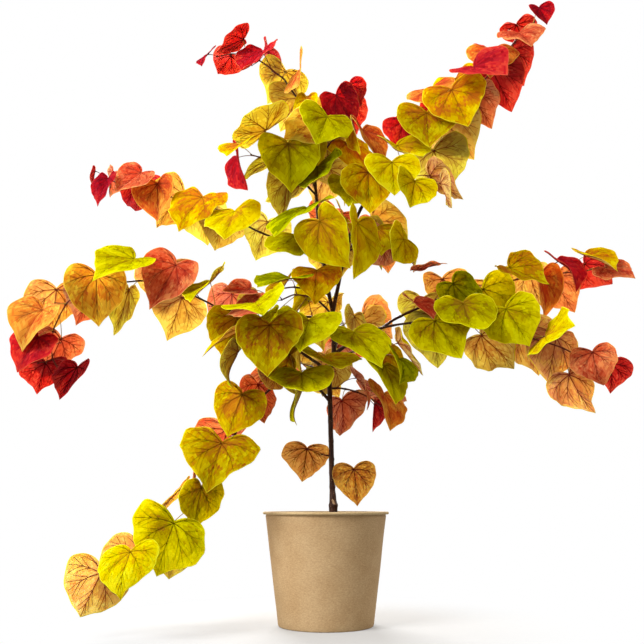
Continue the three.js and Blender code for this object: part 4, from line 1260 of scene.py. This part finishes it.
def pot_section():
    """
    The pot's half section from the middle of its underside, round the small base edge, up the wall, over
    the rolled lip, and down the inside to the middle of its floor: radius and height, row by row.
    """
    bend = np.radians(np.linspace(-90, 0, EDGE_ROWS))
    base = (POT_BASE_RADIUS - EDGE_RADIUS, EDGE_RADIUS) + EDGE_RADIUS * circle(bend)
    up = np.linspace(EDGE_RADIUS + 2, WALL_TOP - 2.5, WALL_ROWS)
    centre = (POT_RIM_RADIUS - LIP_RADIUS, POT_HEIGHT - LIP_RADIUS)
    lip = centre + LIP_RADIUS * circle(np.radians(np.linspace(-100, 190, LIP_ROWS)))
    neck = [(wall_radius(WALL_TOP) - 1.1, WALL_TOP - 0.3)]
    down = np.linspace(WALL_TOP - 3, POT_FLOOR + 3, INNER_ROWS)
    floor = [(wall_radius(POT_FLOOR) - POT_WALL - 3, POT_FLOOR), (30, POT_FLOOR), (1, POT_FLOOR)]
    return np.concatenate([[(1, 0), (40, 0), (66, 0)], base, np.stack([wall_radius(up), up], 1), neck, lip,
                           np.stack([wall_radius(down) - POT_WALL, down], 1), floor])


def fibre_pot(chance):
    """
    The half section turned about the upright axis.  The pressing's slight unevenness, up to half a
    millimetre and none at the foot, is added to the radius.
    """
    section, angle = pot_section(), angles(POT_COLUMNS)
    height = section[:, 1:] + 0 * angle
    where = np.stack(np.broadcast_arrays(np.cos(angle) * 90, np.sin(angle) * 90, height), -1)
    radius = section[:, :1] + UNEVENNESS * waves(where, 60, chance) * np.clip(height / EVEN_FOOT, 0, 1)
    rings = np.concatenate([circle(angle, radius), height[..., None]], -1)
    return closed_tube(rings, [(0, 0, section[0, 1]), (0, 0, section[-1, 1])])


# The rolled lip is the same kraft fibre as the wall, but it takes a paler copy of it: a painted highlight
# for its top, which is lit from above.
FIBRE, LIP_HIGHLIGHT = range(2)
pot = fibre_pot(np.random.default_rng(5))
height = pot.points[pot.triangles][..., 2].min(1)
reach = np.linalg.norm(pot.points[pot.triangles][..., :2], axis=-1).min(1)
# The triangles of the rolled lip, which get the paler kraft as a painted highlight.
lip = (height > WALL_TOP - 0.4) & (reach > wall_radius(WALL_TOP) - POT_WALL)
piece("pot_fibre", Part(pot.points, pot.triangles, np.where(lip, LIP_HIGHLIGHT, FIBRE)),
      [kraft_fibre("pressed_kraft_fibre", "#ad8e66", "#d0b38a"),
       kraft_fibre("rolled_kraft_lip_painted_highlight", "#b89e74", "#dac49a")], "fibre_pot", "pot")

# The mix: rings from its foot, 12 mm under its top, and over a relief of three sizes of crumbs that
# rises a little to the wall.
SOIL_COLUMNS = 150
SOIL_DEPTH = 12
chance = np.random.default_rng(31)
soil_rings = np.linspace(0, 1, 60)[1:]
soil_reach = wall_radius(SOIL_LEVEL) - POT_WALL - 0.4
flat = soil_reach * soil_rings[:, None, None] * circle(angles(SOIL_COLUMNS))
bumps = (0.9 * waves(flat, 34, chance) + 0.8 * waves(flat, 11, chance) + 0.7 * waves(flat, 5, chance)
         - 0.8 + 1.6 * soil_rings[:, None] ** 6)
top = np.concatenate([flat, SOIL_LEVEL + bumps[..., None]], -1)[::-1]
foot = np.concatenate([flat[-1:] * 0.985, np.full((1, SOIL_COLUMNS, 1), SOIL_LEVEL - SOIL_DEPTH)], -1)
soil = closed_tube(np.concatenate([foot, top]), [(0, 0, SOIL_LEVEL - SOIL_DEPTH), (0, 0, SOIL_LEVEL - 0.8)])
piece("potting_mix", soil, [crumb("moist_peat_mix", "#1c120c", "#46321f", 0.004)], "soil", "potting_soil")

CHIPS = 420
CHIP_CORNERS = np.array([(x, y, z) for x in (-1, 1) for y in (-1, 1) for z in (-1, 1)])
CHIP_FACES = np.array([(0, 1, 3), (0, 3, 2), (4, 6, 7), (4, 7, 5), (0, 4, 5), (0, 5, 1),
                       (2, 3, 7), (2, 7, 6), (0, 2, 6), (0, 6, 4), (1, 5, 7), (1, 7, 3)])


def bark_chips(chance):
    """Flat splinters of composted bark, 3 to 11 mm long, turned at random and strewn on the mix."""
    reach = (soil_reach - 7) * np.sqrt(chance.uniform(0.02, 1, CHIPS))
    angle = chance.uniform(0, TURN, CHIPS)
    centre = np.column_stack([circle(angle, reach), SOIL_LEVEL + chance.uniform(-0.6, 1.4, CHIPS)])
    half = np.stack([chance.uniform(1.5, 5.5, CHIPS), chance.uniform(1.0, 2.6, CHIPS),
                     chance.uniform(0.5, 1.2, CHIPS)], 1)
    corners = CHIP_CORNERS * half[:, None] * chance.uniform(0.55, 1.0, (CHIPS, 8, 3))
    turn, tilt = chance.uniform(0, TURN, CHIPS), chance.normal(size=CHIPS) * 0.35
    c, s = np.cos(turn)[:, None], np.sin(turn)[:, None]
    x, y, z = corners[..., 0], corners[..., 1], corners[..., 2]
    z = z + x * np.sin(tilt)[:, None]
    points = centre[:, None] + np.stack([x * c - y * s, x * s + y * c, z], -1)
    faces = CHIP_FACES[None] + 8 * np.arange(CHIPS)[:, None, None]
    finish = np.repeat(chance.integers(0, 3, CHIPS), len(CHIP_FACES))
    return Part(points.reshape(-1, 3), faces.reshape(-1, 3), finish)


piece("bark_chips", bark_chips(chance),
      [crumb("chip_dark", "#24160e", "#3e2a1c", 0.003), crumb("chip_brown", "#3c281a", "#624630", 0.003),
       crumb("chip_pale", "#5a422e", "#8a6c4c", 0.003)], "soil", smooth=False)

# ---------------------------------------------------------------- stage, light and camera

FLOOR_RADIUS = 3.0                 # metres
FLOOR_CORNERS = 150
FLOOR_FADE = (0.14, 0.42)          # metres from the plant over which the sheet gives way to white
FLOOR_GREY = (0.32, 0.32, 0.32, 1)
FLOOR_GLOW = 0.26                  # keeps the sheet white in even light; it doesn't light the plant


def pale_floor():
    """
    A matt white studio sheet that takes the plant's soft shadow.  By its distance from the plant it
    gives way to the white of the room, and lets the room's light through, so that no edge shows.
    """
    material, place = new_material("white_studio_sheet")
    away = node(material, "ShaderNodeVectorMath", {0: place}, operation="LENGTH")
    fade = node(material, "ShaderNodeMapRange",
                {"Value": away.outputs["Value"], "From Min": FLOOR_FADE[0], "From Max": FLOOR_FADE[1]},
                interpolation_type="SMOOTHSTEP")
    matt = node(material, "ShaderNodeBsdfDiffuse", {"Color": FLOOR_GREY})
    seen = node(material, "ShaderNodeLightPath").outputs["Is Camera Ray"]
    share = node(material, "ShaderNodeMath", {0: seen, 1: FLOOR_GLOW}, operation="MULTIPLY")
    glow = node(material, "ShaderNodeEmission", {"Strength": share.outputs["Value"]})
    sheet = node(material, "ShaderNodeAddShader", {0: matt.outputs["BSDF"], 1: glow.outputs["Emission"]})
    clear = node(material, "ShaderNodeBsdfTransparent")
    white = node(material, "ShaderNodeEmission", {"Strength": 1.0})
    around = node(material, "ShaderNodeMixShader",
                  {0: seen, 1: clear.outputs["BSDF"], 2: white.outputs["Emission"]})
    mix = node(material, "ShaderNodeMixShader",
               {0: fade.outputs["Result"], 1: sheet.outputs["Shader"], 2: around.outputs["Shader"]})
    node(material, "ShaderNodeOutputMaterial", {"Surface": mix.outputs["Shader"]})
    return material


mesh = bpy.data.meshes.new("studio_floor")
corners = np.pad(circle(angles(FLOOR_CORNERS), FLOOR_RADIUS), ((0, 0), (0, 1)))
mesh.from_pydata(corners.tolist(), [], [list(range(len(corners)))])
mesh.materials.append(pale_floor())
floor = bpy.data.objects.new("studio_floor", mesh)
bpy.context.scene.collection.objects.link(floor)

ROOM_TINT = (1.0, 0.93, 0.82, 1)   # warm, as light that has come off a pale wooden room
BRIGHT_SIDE = unit(np.array([-0.55, 0.45, 0.70]))
AMBIENT = (0.12, 1.44)             # the room's light from its dark and its bright side

# To the camera the room is plain white.
world = bpy.data.worlds.new("soft_white_room")
bpy.context.scene.world = world
world.use_nodes = True
world.node_tree.nodes.clear()
way = node(world, "ShaderNodeTexCoord").outputs["Generated"]
side = node(world, "ShaderNodeVectorMath", {0: way, 1: BRIGHT_SIDE}, operation="DOT_PRODUCT")
strength = node(world, "ShaderNodeMapRange", {"Value": side.outputs["Value"], "From Min": -1.0,
                                              "To Min": AMBIENT[0], "To Max": AMBIENT[1]})
rays = node(world, "ShaderNodeLightPath")
seen = node(world, "ShaderNodeBackground", {"Color": (1, 1, 1, 1), "Strength": 1.0})
room = node(world, "ShaderNodeBackground", {"Color": ROOM_TINT, "Strength": strength.outputs["Result"]})
mix = node(world, "ShaderNodeMixShader", {0: rays.outputs["Is Camera Ray"], 1: room.outputs["Background"],
                                          2: seen.outputs["Background"]})
node(world, "ShaderNodeOutputWorld", {"Surface": mix.outputs["Shader"]})


def softbox(name, place, width, power):
    """A square area light in metres and watts, turned towards the middle of the plant."""
    light = bpy.data.lights.new(name, "AREA")
    light.shape = "SQUARE"
    light.size = width
    light.energy = power
    lamp = bpy.data.objects.new(name, light)
    lamp.location = place
    direction = np.array(PLANT_MIDDLE) - np.array(place)
    flat = np.hypot(direction[0], direction[1])
    lamp.rotation_euler = (np.arctan2(flat, -direction[2]), 0, np.arctan2(-direction[0], direction[1]))
    bpy.context.scene.collection.objects.link(lamp)


PLANT_MIDDLE = (0, 0, 0.5)
softbox("key_softbox", (-2.08, -1.87, 2.4), width=1.5, power=132)
softbox("rim_softbox", (2.6, 0.9, 1.6), width=1.0, power=12)
softbox("back_softbox", (-0.5, 2.5, 2.2), width=1.6, power=180)

PICTURE_WIDTH, FOCAL_LENGTH = 644, 827    # pixels
CAMERA_PLACE = (-0.006, -1.35, 0.184)
CAMERA_RISE = 12.4                 # degrees that it looks up
camera = bpy.data.cameras.new("camera")
camera.sensor_width = 36
camera.lens = FOCAL_LENGTH / PICTURE_WIDTH * camera.sensor_width
view = bpy.data.objects.new("camera", camera)
view.location = CAMERA_PLACE
view.rotation_euler = (np.radians(90 + CAMERA_RISE), 0, 0)
bpy.context.scene.collection.objects.link(view)
bpy.context.scene.camera = view
bpy.context.scene.view_settings.view_transform = "Standard"
